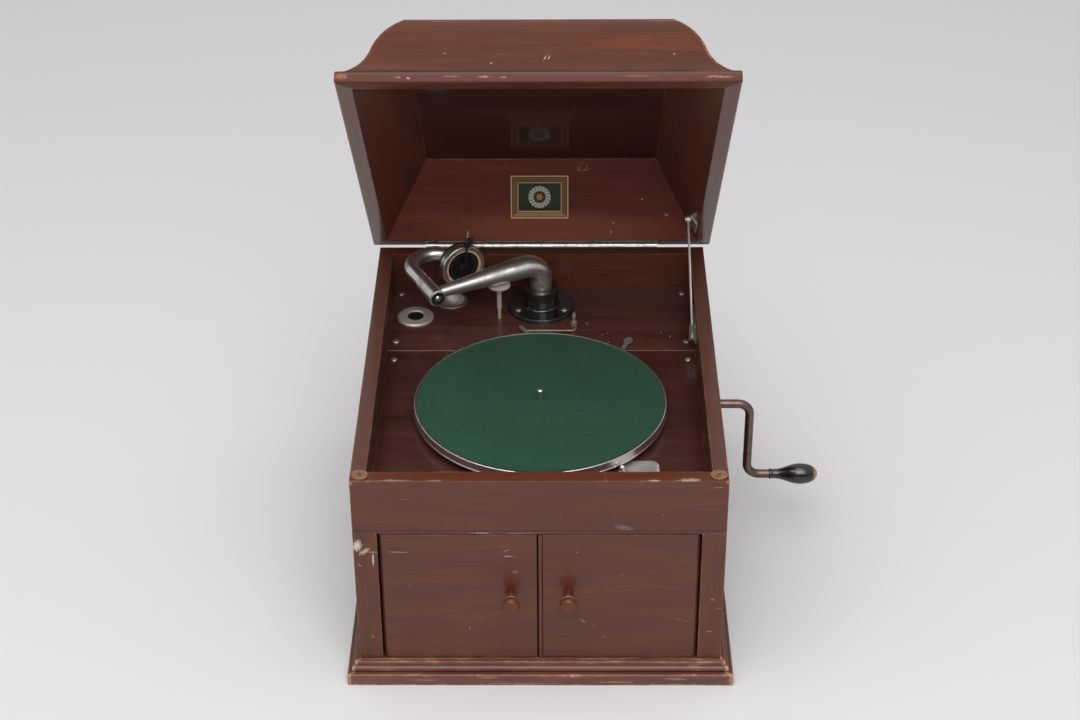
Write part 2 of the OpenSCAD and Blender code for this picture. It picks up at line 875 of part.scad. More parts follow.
// A spur gear with n teeth, one of them centred on the angle given.
module gear(n, h, angle) {
    rotate([0, 0, angle]) linear_extrude(h)
        gear_shape(n, gear_m * (n / 2 - 1.2), gear_m * (n / 2 + 0.8));
}

// A bevel gear that meets one with m teeth at a right angle. Its large end
// is on z = 0 and its cone closes towards +Z.
module bevel_gear(n, m) {
    pitch_r = bevel_m * n / 2;
    lean = norm([n, m]) / m;
    linear_extrude(bevel_m * m / 2 * (1 - bevel_end), scale = bevel_end)
        gear_shape(n, pitch_r - 1.1 * bevel_m * lean, pitch_r + 0.7 * bevel_m * lean);
}

wheel_t = 4;
pinion_h = 8;
upper_z = plate_z1 - 6 - wheel_t;
lower_z = plate_z0 + 5;
governor_z = plate_z0 + 41.5;

module spindle() {
    out_angle = bearing(spindle_at, middle_at);
    top = felt_z + spindle_up;
    neck = platter_z - 1;
    color("#9c978c") translate([0, spindle_y, 0]) {
        translate([0, 0, plate_z0 + 0.5]) cylinder(h = neck - plate_z0 - 0.5, r = shaft_r);
        translate([0, 0, plate_z0 - motor_plate_t + 0.5])
            cylinder(h = motor_plate_t + 1, r = pivot_r);
        translate([0, 0, neck - 1])
            cylinder(h = top - neck + 1 - spindle_r, r = spindle_r);
        translate([0, 0, top - spindle_r]) sphere(spindle_r);
        translate([0, 0, upper_z - (pinion_h - wheel_t) / 2])
            gear(pinion_n, pinion_h, out_angle);
        translate([0, 0, governor_z - 2.5]) gear(governor_n, 5, 0);
    }
}

module middle_gear() {
    in_angle = bearing(middle_at, spindle_at);
    out_angle = bearing(middle_at, barrel_at);
    color("#a08a4a") translate([middle_at[0], middle_at[1], 0]) {
        translate([0, 0, plate_z0 - motor_plate_t + 0.5])
            cylinder(h = motor_h + 2 * motor_plate_t - 1, r = pivot_r);
        translate([0, 0, plate_z0 + 0.5]) cylinder(h = motor_h - 1, r = 3.6);
        translate([0, 0, upper_z]) difference() {
            gear(middle_n, wheel_t, in_angle + 180 / middle_n);
            for (a = [0:72:359]) rotate([0, 0, a]) translate([23, 0, -1])
                cylinder(h = wheel_t + 2, r = 9);
        }
        translate([0, 0, lower_z - (pinion_h - wheel_t) / 2])
            gear(pinion_n, pinion_h, out_angle);
    }
}

arbor_r = 6;
bevel_m = 2;
bevel_end = 0.72;
wind_n = 12;
wound_n = 28;

// The spring's drum with its great wheel. It turns on the winding arbor.
module spring_barrel() {
    in_angle = bearing(barrel_at, middle_at);
    shell = 1.6;
    bore = arbor_r + run_fit;
    color("#8a8578") translate([barrel_at[0], barrel_at[1], lower_z]) {
        difference() {
            gear(barrel_n, wheel_t, in_angle + 180 / barrel_n);
            translate([0, 0, -1]) cylinder(h = wheel_t + 2, r = bore);
        }
        translate([0, 0, wheel_t]) rotate_extrude() difference() {
            translate([bore, 0]) square([barrel_r - bore, barrel_h]);
            translate([bore + 3, shell])
                square([barrel_r - bore - 3 - shell, barrel_h - 2 * shell]);
        }
    }
}

// The arbor in the drum, wound by the crank through its bevel wheel.
module winding_arbor() {
    wheel_z = crank_z - bevel_m * wind_n / 2;
    color("#9a9588") translate([barrel_at[0], barrel_at[1], 0]) {
        translate([0, 0, plate_z0 - motor_plate_t + 0.5])
            cylinder(h = motor_h + 2 * motor_plate_t - 1, r = pivot_r);
        translate([0, 0, plate_z0 + 0.5]) cylinder(h = motor_h - 1, r = arbor_r);
        translate([0, 0, lower_z - 2]) cylinder(h = 1.8, r = arbor_r + 3);
        translate([0, 0, wheel_z]) rotate([0, 0, 180 / wound_n])
            bevel_gear(wound_n, wind_n);
        translate([0, 0, wheel_z - 2]) cylinder(h = 2.5, r = arbor_r + 12);
    }
}

governor_at = [0, spindle_y - gear_m * (governor_n / 2 + 0.8) - 4.4];
governor_x = 56;

// Governor: three weights on springs between two collars, a friction disc
// and the worm that the spindle wheel drives.
module governor() {
    worm_r = 4;
    left = -46;
    right = -18;
    weight_out = 12;
    strap = norm([(right - left) / 2, weight_out - 5]);
    slope = atan2(weight_out - 5, (right - left) / 2);
    color("#a89352") translate([0, governor_at[1], governor_z]) {
        bar_x(-governor_x - 2.5, governor_x + 2.5, 1.5, 0, 0);
        bar_x(-14, 14, worm_r - 0.8, 0, 0);
        for (x = [-12:4:12]) bar_x(x - 1, x + 1, worm_r, 0, 0);
        for (x = [left, right]) bar_x(x - 2, x + 2, 5.6, 0, 0);
        bar_x(left - 5, left - 3, 15, 0, 0);
        bar_x(left - 5, left, 4, 0, 0);
        for (a = [0:120:359]) rotate([a, 0, 0])
            translate([(left + right) / 2, 0, weight_out]) {
                cylinder(h = 7, r = 4.5, center = true);
                for (s = [0, 1]) mirror([s, 0, 0]) rotate([0, slope, 0])
                    translate([1, -2.5, -0.4]) cube([strap - 1, 5, 0.8]);
            }
    }
}

// The plates, pillars and bearings that the wheels turn in.
module motor_frame() {
    color("#5b5f5c") difference() {
        union() {
            for (z = [plate_z1, plate_z0 - motor_plate_t])
                plank([motor_x0, motor_y0, z],
                    [motor_x1 - motor_x0, motor_y1 - motor_y0, motor_plate_t]);
            for (x = [motor_x0 + 8, motor_x1 - 8], y = [motor_y0 + 8, motor_y1 - 8])
                translate([x, y, plate_z0 - 1]) cylinder(h = motor_h + 2, r = 5);
            for (x = [-governor_x, governor_x])
                plank([x - 3, governor_at[1] - 5, governor_z - 5],
                    [6, 10, plate_z1 - governor_z + 6]);
            plank([motor_x1 - 9, crank_y - 10, crank_z - 10],
                [6, 20, plate_z1 - crank_z + 11]);
        }
        for (p = [spindle_at, middle_at, barrel_at])
            translate([p[0], p[1], plate_z0 - motor_plate_t - 1])
                cylinder(h = motor_h + 2 * motor_plate_t + 2, r = pivot_r + run_fit);
        translate([0, spindle_y, plate_z1 - 1])
            cylinder(h = motor_plate_t + 2, r = shaft_r + run_fit);
        bar_x(-governor_x - 4, governor_x + 4, 1.5 + run_fit, governor_at[1],
            governor_z);
        bar_x(motor_x1 - 10, motor_x1 + 1, crank_r + run_fit, crank_y, crank_z);
    }
}

// -------------------------------------------------------------------- horn

// The horn as rings from the throat to the mouth, each
// [y, z, turn from downwards to forwards, half width, half height, squareness].
throat_z = under_board_z - 38;
horn_t0 = [arm_y, throat_z, 0, throat_r, throat_r, 2];
horn_gap = 18;
horn_low_z = bottom_t + horn_gap;
horn_high_z = plate_z0 - motor_plate_t - horn_gap;
horn_mid_z = (horn_low_z + horn_high_z) / 2;
// Half the height that the horn may take under the motor.
horn_hh = (horn_high_z - horn_low_z) / 2;
horn_mouth = [inner_front_y + baffle_t, (fascia_z + rail_h) / 2 - 3, 90,
    mouth_hw, (fascia_z - rail_h) / 2 - 6, 9];
horn_rings = [
    horn_t0,
    [arm_y - 1, under_board_z - 60, 4, throat_r + 4, throat_r + 3, 2],
    [arm_y - 11, horn_mid_z + 41, 30, 28, 24, 2.4],
    [arm_y - 39, horn_mid_z + 12, 64, 41, 30, 2.8],
    [arm_y - 82, horn_mid_z, 90, 58, horn_hh * 0.72, 3.4],
    [arm_y - 150, horn_mid_z - 2, 90, 84, horn_hh * 0.88, 4.5],
    [arm_y - 245, horn_mid_z - 1, 90, 115, horn_hh * 0.98, 6],
    [inner_front_y + baffle_t + 70, horn_mid_z + 9, 90, mouth_hw - 24, 58, 8],
    horn_mouth
];
horn_sides = 28;

// Rounded box of half size [a, b] at angle t.
function ring_point(a, b, e, t) =
    let (c = cos(t), s = sin(t))
    [a * sign(c) * abs(c) ^ (2 / e), b * sign(s) * abs(s) ^ (2 / e)];

// Ring k of the horn, grown by g, as points in space.
function horn_ring(r, g) = [for (i = [0:horn_sides - 1])
    let (p = ring_point(r[3] + g, r[4] + g, r[5], (i + 0.5) * 360 / horn_sides))
    [p[0], r[0] - p[1] * cos(r[2]), r[1] + p[1] * sin(r[2])]];

module horn_ring_shape(r) {
    polygon([for (i = [0:horn_sides - 1])
        let (p = ring_point(r[3], r[4], r[5], (i + 0.5) * 360 / horn_sides))
        [p[0], r[1] + p[1]]]);
}

module horn() {
    n = len(horn_rings);
    m = horn_sides;
    points = [for (g = [horn_t, 0], r = horn_rings) each horn_ring(r, g)];
    function at(shell, ring, i) = (shell * n + ring) * m + i % m;
    walls = [for (k = [0:n - 2], i = [0:m - 1]) each [
        [at(0, k, i), at(0, k, i + 1), at(0, k + 1, i + 1)],
        [at(0, k, i), at(0, k + 1, i + 1), at(0, k + 1, i)],
        [at(1, k, i), at(1, k + 1, i + 1), at(1, k, i + 1)],
        [at(1, k, i), at(1, k + 1, i), at(1, k + 1, i + 1)]
    ]];
    ends = [for (i = [0:m - 1]) each [
        [at(0, 0, i), at(1, 0, i + 1), at(0, 0, i + 1)],
        [at(0, 0, i), at(1, 0, i), at(1, 0, i + 1)],
        [at(0, n - 1, i), at(0, n - 1, i + 1), at(1, n - 1, i + 1)],
        [at(0, n - 1, i), at(1, n - 1, i + 1), at(1, n - 1, i)]
    ]];
    color("#26221f") polyhedron(points, concat(walls, ends));
}

// ------------------------------------------------------------ the tone arm

// Everything on the arm is drawn pointing forward (-Y) from its pivot, and
// turned to the side where the arm is parked.
module on_arm() {
    translate([0, arm_y, 0]) rotate([0, 0, -arm_park]) children();
}

flange_t = 4;
gasket_t = 1;
base_z = board_z + gasket_t;
collar_z = base_z + flange_t + collar_h;
collar_r = arm_r + 8;
elbow_z = board_z + elbow_up;
joint_z = board_z + joint_up;

module at_base_screws() {
    for (a = [-30, -150, 90]) translate([(base_r - 9) * cos(a),
        arm_y + (base_r - 9) * sin(a), 0]) children();
}

module tone_arm_base() {
    bore = arm_r + run_fit;
    color("#17161a") translate([0, arm_y, 0]) difference() {
        union() {
            translate([0, 0, board_z]) cylinder(h = gasket_t, r = base_r + 1.2);
            translate([0, 0, base_z]) rotate_extrude($fn = 96) {
                square([base_r - 1.5, flange_t]);
                square([base_r, flange_t - 1.5]);
                translate([base_r - 1.5, flange_t - 1.5]) circle(1.5);
                difference() {
                    square([collar_r + 4, flange_t + 4]);
                    translate([collar_r + 4, flange_t + 4]) circle(4);
                }
                square([collar_r - 1.5, flange_t + collar_h]);
                square([collar_r, flange_t + collar_h - 1.5]);
                translate([collar_r - 1.5, flange_t + collar_h - 1.5]) circle(1.5);
            }
            translate([0, 0, throat_z]) cylinder(h = board_z + gasket_t - throat_z,
                r = throat_r + horn_t);
        }
        translate([0, 0, board_z + 2]) cylinder(h = collar_z - board_z, r = bore);
        translate([0, 0, throat_z - 1]) cylinder(h = board_z + 4 - throat_z,
            r = throat_r - horn_t);
        translate([0, 0, collar_z - 3]) cylinder(h = 4, r1 = arm_r + 0.2, r2 = arm_r + 5);
        translate([0, -arm_y, 0]) at_base_screws() translate([0, 0, board_z - 1])
            cylinder(h = 20, r = screw_r + run_fit);
    }
}

module base_screws() {
    head_r = 3.9;
    color("#c9c3b4") at_base_screws() translate([0, 0, base_z + flange_t])
        domed_screw(head_r, 0.4, head_r, 1.2, board_t * 0.7 + gasket_t + flange_t);
}

tube_wall = 1.3;
arm_fall = atan((elbow_up - joint_up) / (arm_len - elbow_r));
elbow_turn = 90 + arm_fall;
straight_l = 18;
// Where the elbow ends, and the length from there to the joint.
elbow_end = [-elbow_r + elbow_r * cos(elbow_turn),
    elbow_z - elbow_r + elbow_r * sin(elbow_turn)];
taper_l = (arm_len + elbow_end[0]) / cos(arm_fall) - straight_l;
barrel_half = 11;
joint_r = 10.5;
spigot_r = 8;
arm_foot_z = board_z + 2.6;
solder_lap = 0.08;

// A straight pipe along Z with its own radius at each end.
module pipe(h, r0, r1, wall) {
    rotate_extrude() polygon([[r0 - wall, 0], [r0, 0], [r1, h], [r1 - wall, h]]);
}

// A bent pipe that turns about Z, with the bend's radius and the pipe's own.
module bent_pipe(bend, r, wall, angle) {
    rotate_extrude(angle = angle) translate([bend, 0]) difference() {
        circle(r);
        circle(r - wall);
    }
}

// The upright part of the arm, up to the elbow, whose end it laps.
module arm_upright(h) {
    lap_r = arm_r + solder_lap;
    rotate_extrude() polygon([
        [arm_r - tube_wall, 0], [arm_r, 0], [arm_r, h - 5], [lap_r, h - 5],
        [lap_r, h + 1], [lap_r - tube_wall, h + 1], [lap_r - tube_wall, h - 4],
        [arm_r - tube_wall, h - 4]
    ]);
}

// The straight, tapered part of the arm. It laps the end of the elbow.
module arm_taper(r0, r1) {
    l = straight_l + taper_l - spigot_r - 1;
    rotate_extrude() polygon([
        [r0 - tube_wall, -1], [r0, -1], [r0, straight_l], [r1, l],
        [r1 - tube_wall, l], [r0 - tube_wall, straight_l]
    ]);
}

module tone_arm() {
    color("#a8a49a") on_arm() {
        translate([0, 0, arm_foot_z]) arm_upright(elbow_z - elbow_r - arm_foot_z);
        translate([0, -elbow_r, elbow_z - elbow_r]) rotate([90, 0, 90])
            bent_pipe(elbow_r, arm_r, tube_wall, elbow_turn);
        translate([0, elbow_end[0], elbow_end[1]]) rotate([elbow_turn, 0, 0])
            arm_taper(arm_r + solder_lap, arm_end_r);
        difference() {
            bar_x(-barrel_half, barrel_half, joint_r, -arm_len, joint_z);
            bar_x(-barrel_half - 1, barrel_half - 3, spigot_r, -arm_len, joint_z);
            bar_x(barrel_half - 4, barrel_half + 1, 2.2, -arm_len, joint_z);
            translate([0, -arm_len, joint_z]) rotate([-90 + arm_fall, 0, 0])
                cylinder(h = joint_r + 5, r = arm_end_r - 2 * tube_wall);
        }
    }
}

module arm_cap() {
    cap_r = 11;
    color("#8f8f86") on_arm() translate([barrel_half, -arm_len, joint_z])
        rotate([0, 90, 0]) {
            cylinder(h = 2, r = cap_r);
            translate([0, 0, 2]) cylinder(h = 1, r1 = cap_r, r2 = cap_r - 2);
            translate([0, 0, 3]) cylinder(h = 1.2, r1 = 3.6, r2 = 2.4);
            translate([0, 0, -4]) cylinder(h = 4.5, r = 2.2 - run_fit);
        }
}

neck_wall = 1.5;
box_x0 = -neck_leg + 4;
box_y = 2 * neck_bend - arm_len;

module gooseneck() {
    x0 = -barrel_half - slide_gap;
    sleeve_l = 20;
    color("#a8a49a") on_arm() {
        translate([-neck_leg, -arm_len, joint_z]) rotate([0, 90, 0]) {
            pipe(neck_leg + x0 - sleeve_l + 1, neck_r, neck_r, neck_wall);
            translate([0, 0, neck_leg + x0 - sleeve_l])
                pipe(sleeve_l, neck_r + 1, neck_r + 1, 4);
            translate([0, 0, neck_leg + x0 - 4])
                pipe(3 - x0, spigot_r - run_fit, spigot_r - run_fit, neck_wall);
        }
        translate([-neck_leg, neck_bend - arm_len, joint_z]) rotate([0, 0, 90])
            bent_pipe(neck_bend, neck_r, neck_wall, 180);
        translate([-neck_leg, box_y, joint_z]) rotate([0, 90, 0]) {
            pipe(box_x0 + neck_leg, neck_r, neck_r, neck_wall);
            translate([0, 0, 1]) pipe(box_x0 + neck_leg - 1, neck_r + 0.9, neck_r + 0.9, 1.6);
        }
    }
}

module soundbox() {
    back_t = box_t * 0.32;
    rim = box_r - 5.2;
    color("#8f8b80") on_arm() translate([box_x0, box_y, joint_z])
        rotate([0, 90, 0]) difference() {
            rotate_extrude($fn = 96) {
                square([box_r - 1.8, back_t]);
                translate([box_r - 1.8 - back_t / 2, 0])
                    translate([0, back_t / 2]) circle(back_t / 2 + 0.4);
                translate([0, back_t]) square([box_r, box_t - back_t - 1]);
                square([box_r - 1, box_t]);
                translate([box_r - 1, box_t - 1]) circle(1);
            }
            translate([0, 0, box_t - 3.2]) cylinder(h = 4, r = rim);
            translate([0, 0, -1]) cylinder(h = box_t - 4, r = neck_r - neck_wall);
        }
}

// The cream ring that holds the diaphragm, with the diaphragm's disc.
module soundbox_gasket() {
    rim = box_r - 5.3;
    color("#c9a988") on_arm() translate([box_x0 + box_t - 3.2, box_y, joint_z])
        rotate([0, 90, 0]) difference() {
            cylinder(h = 2.2, r = rim);
            translate([0, 0, 0.8]) cylinder(h = 2, r = rim - 2.8);
        }
}

// Everything that points at the needle, drawn pointing up from the middle.
module to_needle() {
    on_arm() translate([box_x0 + box_t, box_y, joint_z])
        rotate([-needle_lean, 0, 0]) children();
}

holder_r = 2.6;

module stylus_bar() {
    foot = 1.8;
    color("#3b3a36") to_needle() {
        bar_x(-foot, 2, 3, 0, 0);
        bar_x(1.6, 3.4, 1.6, 0, 0);
        translate([0.4, -1.3, 0]) cube([1.8, 2.6, box_r + 3]);
        translate([-3.2, -5, box_r + 0.2]) cube([5.6, 10, 4.6]);
        translate([-0.6, 0, box_r + 4]) cylinder(h = 8, r = holder_r);
        translate([-0.6, 2, box_r + 9]) rotate([-90, 0, 0]) {
            cylinder(h = 3, r = 1.3);
            translate([0, 0, 2.4]) cylinder(h = 4.6, r = 3);
        }
    }
}

module needle() {
    z0 = box_r + 12;
    tip = 4;
    color("#b0aca2") to_needle() translate([-0.6, 0, z0]) {
        cylinder(h = needle_reach - z0 - tip, r = 0.8);
        translate([0, 0, needle_reach - z0 - tip]) cylinder(h = tip, r1 = 0.8, r2 = 0.15);
    }
}

rest_at = 60.5;
rest_r = 14.6;
// Height of the tube's underside over the near edge of the cradle.
rest_top = elbow_z - arm_r - solder_lap
    - (rest_at + rest_r - elbow_r) * tan(arm_fall) - slide_gap;

// Post and round plate that the parked arm lies over.
module arm_rest() {
    thin_h = 15;
    plate_h = 1.5;
    color("#9d988c") on_arm() translate([0, -rest_at, 0]) {
        translate([0, 0, board_z - post_in])
            cylinder(h = thin_h + post_in, r = rest_post_r);
        translate([0, 0, board_z + thin_h])
            cylinder(h = rest_top - plate_h / 2 - board_z - thin_h, r = 3.1);
        translate([0, 0, rest_top - plate_h]) cylinder(h = plate_h, r = rest_r);
    }
}

// ------------------------------------------------------------ needle cups

// Each cup is [x, y, radius in the board].
used_cup = [used_cup_side - side_x, rear_y - used_cup_back, used_cup_r];
new_cup = [new_cup_side - side_x, rear_y - new_cup_back, new_cup_r];

// A funnel-mouthed cup for used needles, sunk in the board.
module used_needle_cup() {
    rim_r = used_cup[2] + 11.1;
    hole = 9.8;
    depth = 28;
    color("#a19c90") translate([used_cup[0], used_cup[1], board_z]) rotate_extrude() {
        polygon([[hole, -1.4], [hole + 2, -1.4], [used_cup[2], -1.4],
            [used_cup[2], 0], [rim_r, 0], [rim_r, 1.4], [rim_r - 2, 3],
            [hole + 2.5, 3.6], [hole, 2]]);
        translate([used_cup[2] - 1.3, -depth]) square([1.3, depth - 1]);
        translate([0, -depth]) square([used_cup[2], 1.3]);
    }
}

module needle_cup() {
    rim_w = 3.5;
    rim_t = 1.6;
    wall = 1.3;
    depth = 12;
    mouth = new_cup_r - wall;
    bowl_r = (mouth ^ 2 + depth ^ 2) / (2 * depth);
    color("#a8a396") translate([new_cup[0], new_cup[1], board_z]) rotate_extrude()
        difference() {
            union() {
                square([new_cup_r + rim_w - 1, rim_t]);
                square([new_cup_r + rim_w, rim_t / 2]);
                translate([0, -depth - wall]) square([new_cup_r, depth + wall + rim_t / 2]);
            }
            translate([0, bowl_r - depth]) intersection() {
                circle(bowl_r);
                translate([0, -bowl_r]) square(2 * bowl_r);
            }
        }
}

// ------------------------------------------------- brake, trip and speed

brake_at = [brake_side, spindle_y + brake_behind];
trip_at = [trip_side, arm_y - trip_ahead];
post_r = 2;
post_in = 6;
post_foot_h = 2.1;
lever_z = board_z + post_foot_h + slide_gap;
lever_t = 1.5;
rest_post_r = 2.2;
speed_at = [speed_side, spindle_y - speed_ahead];

// Holes in the boards for the posts that stand in them.
module board_post_holes() {
    for (p = [brake_at, trip_at, speed_at])
        translate([p[0], p[1], board_z - post_in])
            cylinder(h = post_in + 1, r = post_r + run_fit);
    on_arm() translate([0, -rest_at, board_z - post_in])
        cylinder(h = post_in + 1, r = rest_post_r + run_fit);
}

module brake_post() {
    over_z = lever_z + lever_t + slide_gap;
    washer_t = 0.8;
    trip_h = 11;
    tip_h = 5;
    color("#9d988c") {
        for (p = [brake_at, trip_at]) translate([p[0], p[1], 0]) {
            translate([0, 0, board_z - post_in])
                cylinder(h = post_in + over_z + washer_t - board_z, r = post_r);
            translate([0, 0, board_z]) cylinder(h = post_foot_h, r = 2 * post_r);
        }
        translate([brake_at[0], brake_at[1], over_z])
            cylinder(h = washer_t, r = 1.8 * post_r);
        translate([trip_at[0], trip_at[1], over_z]) {
            cylinder(h = trip_h, r = post_r);
            translate([0, 0, trip_h - 2.2]) cylinder(h = tip_h, r1 = 2.6, r2 = 1.8);
        }
    }
}

// Spoon-shaped brake lever; its pad presses on the rim of the platter.
module brake_lever() {
    reach = 50;
    spoon = [5.6, 8.6];
    lean = -21;
    boss = 5;
    bar_w = 5.2;
    pad_a = 61;
    pad_h = 9.5;
    pad_out = platter_r + 3.6;
    pad = [pad_out * cos(pad_a), spindle_y + pad_out * sin(pad_a)];
    color("#9f9a8e") translate([0, 0, lever_z]) difference() {
        union() {
            translate([brake_at[0], brake_at[1], 0]) {
                cylinder(h = lever_t, r = boss);
                rotate([0, 0, lean]) {
                    translate([-bar_w / 2, 0, 0]) cube([bar_w, reach - spoon[1], lever_t]);
                    translate([0, reach - 1, 0]) linear_extrude(lever_t)
                        spoon_shape(spoon);
                }
            }
            arm_between(brake_at, pad, boss);
            translate([pad[0], pad[1], 0]) rotate([0, 0, pad_a])
                translate([-bar_w / 2, -boss, 0]) cube([bar_w + 0.2, 2 * boss, pad_h]);
        }
        translate([brake_at[0], brake_at[1], -1])
            cylinder(h = lever_t + 2, r = post_r + run_fit);
    }
}

// The oval finger pad: two arcs that meet at its ends.
module spoon_shape(half) {
    r = (half[0] ^ 2 + half[1] ^ 2) / (2 * half[0]);
    intersection() {
        translate([r - half[0], 0]) circle(r);
        translate([half[0] - r, 0]) circle(r);
    }
}

module arm_between(a, b, w) {
    translate([a[0], a[1], 0]) rotate([0, 0, bearing(a, b)])
        translate([0, -w / 2, 0]) cube([norm(b - a), w, lever_t]);
}

// Bent wire that the arm nudges at the end of a record, with a flat finger.
module trip_lever() {
    wire_r = 1.2;
    wire_x = post_r + 0.2;
    wire_z = lever_z + wire_r + 0.2;
    drop = 15;
    bend = 6;
    run = 58;
    boss = 4.4;
    finger = [58, 5];
    finger_over = 14;
    corner = [wire_x - bend, -drop - bend];
    color("#a39e92") translate([trip_at[0], trip_at[1], 0]) difference() {
        union() {
            translate([0, 0, lever_z]) cylinder(h = lever_t, r = boss);
            translate([wire_x, 0, wire_z]) rotate([90, 0, 0])
                cylinder(h = drop, r = wire_r);
            translate([corner[0], -drop, wire_z]) rotate([0, 0, -90])
                rotate_extrude(angle = 90) translate([bend, 0]) circle(wire_r);
            bar_x(corner[0] - run, corner[0], wire_r, corner[1], wire_z);
            translate([corner[0] - run, corner[1], lever_z]) rotate([0, 0, 122])
                translate([finger_over - finger[0], -finger[1] / 2, 0])
                    cube([finger[0], finger[1], lever_t]);
        }
        translate([0, 0, lever_z - 1]) cylinder(h = lever_t + 2, r = post_r + run_fit);
    }
}

// Speed plate, rounded at its free end, with a scale of plain notches.
module speed_plate() {
    l = 40;
    w = 34;
    t = 1.6;
    round_r = 10;
    notches = 7;
    notch = [6, 0.8, 0.5];
    notch_y = 9;
    pitch = (w - 2 * notch_y) / (notches - 1);
    knob_hole = [-3, 13, 6];
    color("#98948a") translate([speed_at[0] - knob_hole[0], speed_at[1] - knob_hole[1], board_z])
        difference() {
            linear_extrude(t) {
                square([l - round_r, w]);
                translate([0, round_r]) square([l, w - 2 * round_r]);
                for (y = [round_r, w - round_r]) translate([l - round_r, y]) circle(round_r);
            }
            for (i = [0:notches - 1])
                translate([l - 4, notch_y + i * pitch - notch[1] / 2, t - notch[2]])
                    cube([notch[0], notch[1], 2 * notch[2]]);
            translate([knob_hole[0], knob_hole[1], -1]) cylinder(h = t + 2, r = knob_hole[2]);
        }
}

module speed_knob() {
    skirt_r = 4.6;
    skirt_h = 2;
    top_r = 3.2;
    top_h = 7.5;
    color("#b3aea2") translate([speed_at[0], speed_at[1], board_z]) {
        translate([0, 0, -post_in]) cylinder(h = post_in + 1, r = post_r);
        translate([0, 0, slide_gap]) cylinder(h = skirt_h, r = skirt_r);
        translate([0, 0, skirt_h]) cylinder(h = top_h - skirt_h, r = top_r);
        translate([0, 0, top_h - 0.5]) intersection() {
            sphere(top_r);
            cylinder(h = top_r + 1, r = top_r + 1);
        }
    }
}

// ------------------------------------------------------------------- crank

crank_x = side_x + crank_out;
lower_bend = crank_bend + 1;
grip_x = crank_x + stub_l;
grip_z = crank_z - crank_throw;
wind_x = barrel_at[0] + bevel_m * wound_n / 2;

module crank_bush() {
    color("#8a8377") difference() {
        union() {
            bar_x(inner_x - 0.6, side_x + 1, bush_r - 0.05, crank_y, crank_z);
            bar_x(side_x, side_x + 2.4, bush_r + 9, crank_y, crank_z);
        }
        bar_x(inner_x - 2, side_x + 4, crank_r + run_fit, crank_y, crank_z);
    }
}

module crank() {
    color("#6d5a52") translate([0, crank_y, 0]) {
        bar_x(wind_x - 5, crank_x - crank_bend, crank_r, 0, crank_z);
        translate([crank_x - crank_bend, 0, crank_z - crank_bend])
            rotate([90, 0, 0]) rotate_extrude(angle = 90)
                translate([crank_bend, 0]) circle(crank_r);
        translate([crank_x, 0, grip_z + lower_bend])
            cylinder(h = crank_throw - crank_bend - lower_bend, r = crank_r);
        translate([crank_x + lower_bend, 0, grip_z + lower_bend])
            rotate([90, 0, 0]) rotate([0, 0, 180]) rotate_extrude(angle = 90)
                translate([lower_bend, 0]) circle(crank_r);
        bar_x(crank_x + lower_bend, grip_x, crank_r, 0, grip_z);
        bar_x(grip_x - 1, grip_x + grip_l * 0.84, crank_r - 1.4, 0, grip_z);
        translate([wind_x, 0, crank_z]) rotate([0, -90, 0])
            bevel_gear(wind_n, wound_n);
    }
}

// Section of the turned grip: collar, neck, bulb and rounded end.
module crank_grip() {
    collar = 6.7;
    neck = 6;
    bore = crank_r - 1.4 + run_fit;
    bulb_at = grip_l * 0.64;
    outline = concat(
        [[bore, 0], [collar - 0.8, 0], [collar, 0.8], [collar, 2.4]],
        [[neck + 0.2, 3.6], [neck, 5]],
        [for (i = [1:12]) let (t = i / 12)
            [neck + (grip_r - neck) * (1 - cos(180 * t)) / 2,
            6 + (bulb_at - 6) * t]],
        [for (i = [1:8]) let (t = i / 8)
            [grip_r * sqrt(1 - 0.93 * t ^ 2.3), bulb_at + (grip_l - bulb_at) * t]],
        [[0, grip_l], [0, grip_l * 0.86], [bore, grip_l * 0.86]]
    );
    color("#241f1c") translate([grip_x + slide_gap, crank_y, grip_z])
        rotate([0, 90, 0]) rotate_extrude() polygon(outline);
}

module knob_left() {
    color("#8d5236") knob(-knob_x);
}

module knob_right() {
    color("#8d5236") knob(knob_x);
}

module door_pins() {
    color("#a79b7c") both_sides() door_pin_pair();
}

side_left();
side_right();
back_panel();
front_fascia();
door_frame();
bottom_board();
plinth_front();
plinth_sides();
horn_baffle();
board_bearers();
front_motor_board();
rear_motor_board();
board_screws();
lid_bumpers();
lid_front();
lid_rear();
lid_left();
lid_right();
lid_top();
hinge_case_leaf();
hinge_lid_leaf();
hinge_pin();
stay_guide();
stay_bracket();
stay_rod();
door_left();
door_right();
door_bead();
knob_left();
knob_right();
door_pins();
platter();
felt_mat();
spindle();
tone_arm_base();
base_screws();
tone_arm();
arm_cap();
arm_rest();
gooseneck();
soundbox();
soundbox_gasket();
stylus_bar();
needle();
used_needle_cup();
needle_cup();
brake_lever();
brake_post();
trip_lever();
speed_plate();
speed_knob();
crank();
crank_grip();
crank_bush();
horn();
motor_frame();
middle_gear();
spring_barrel();
winding_arbor();
governor();
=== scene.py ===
import json
import math
import random

import bpy
from mathutils import Matrix, Vector


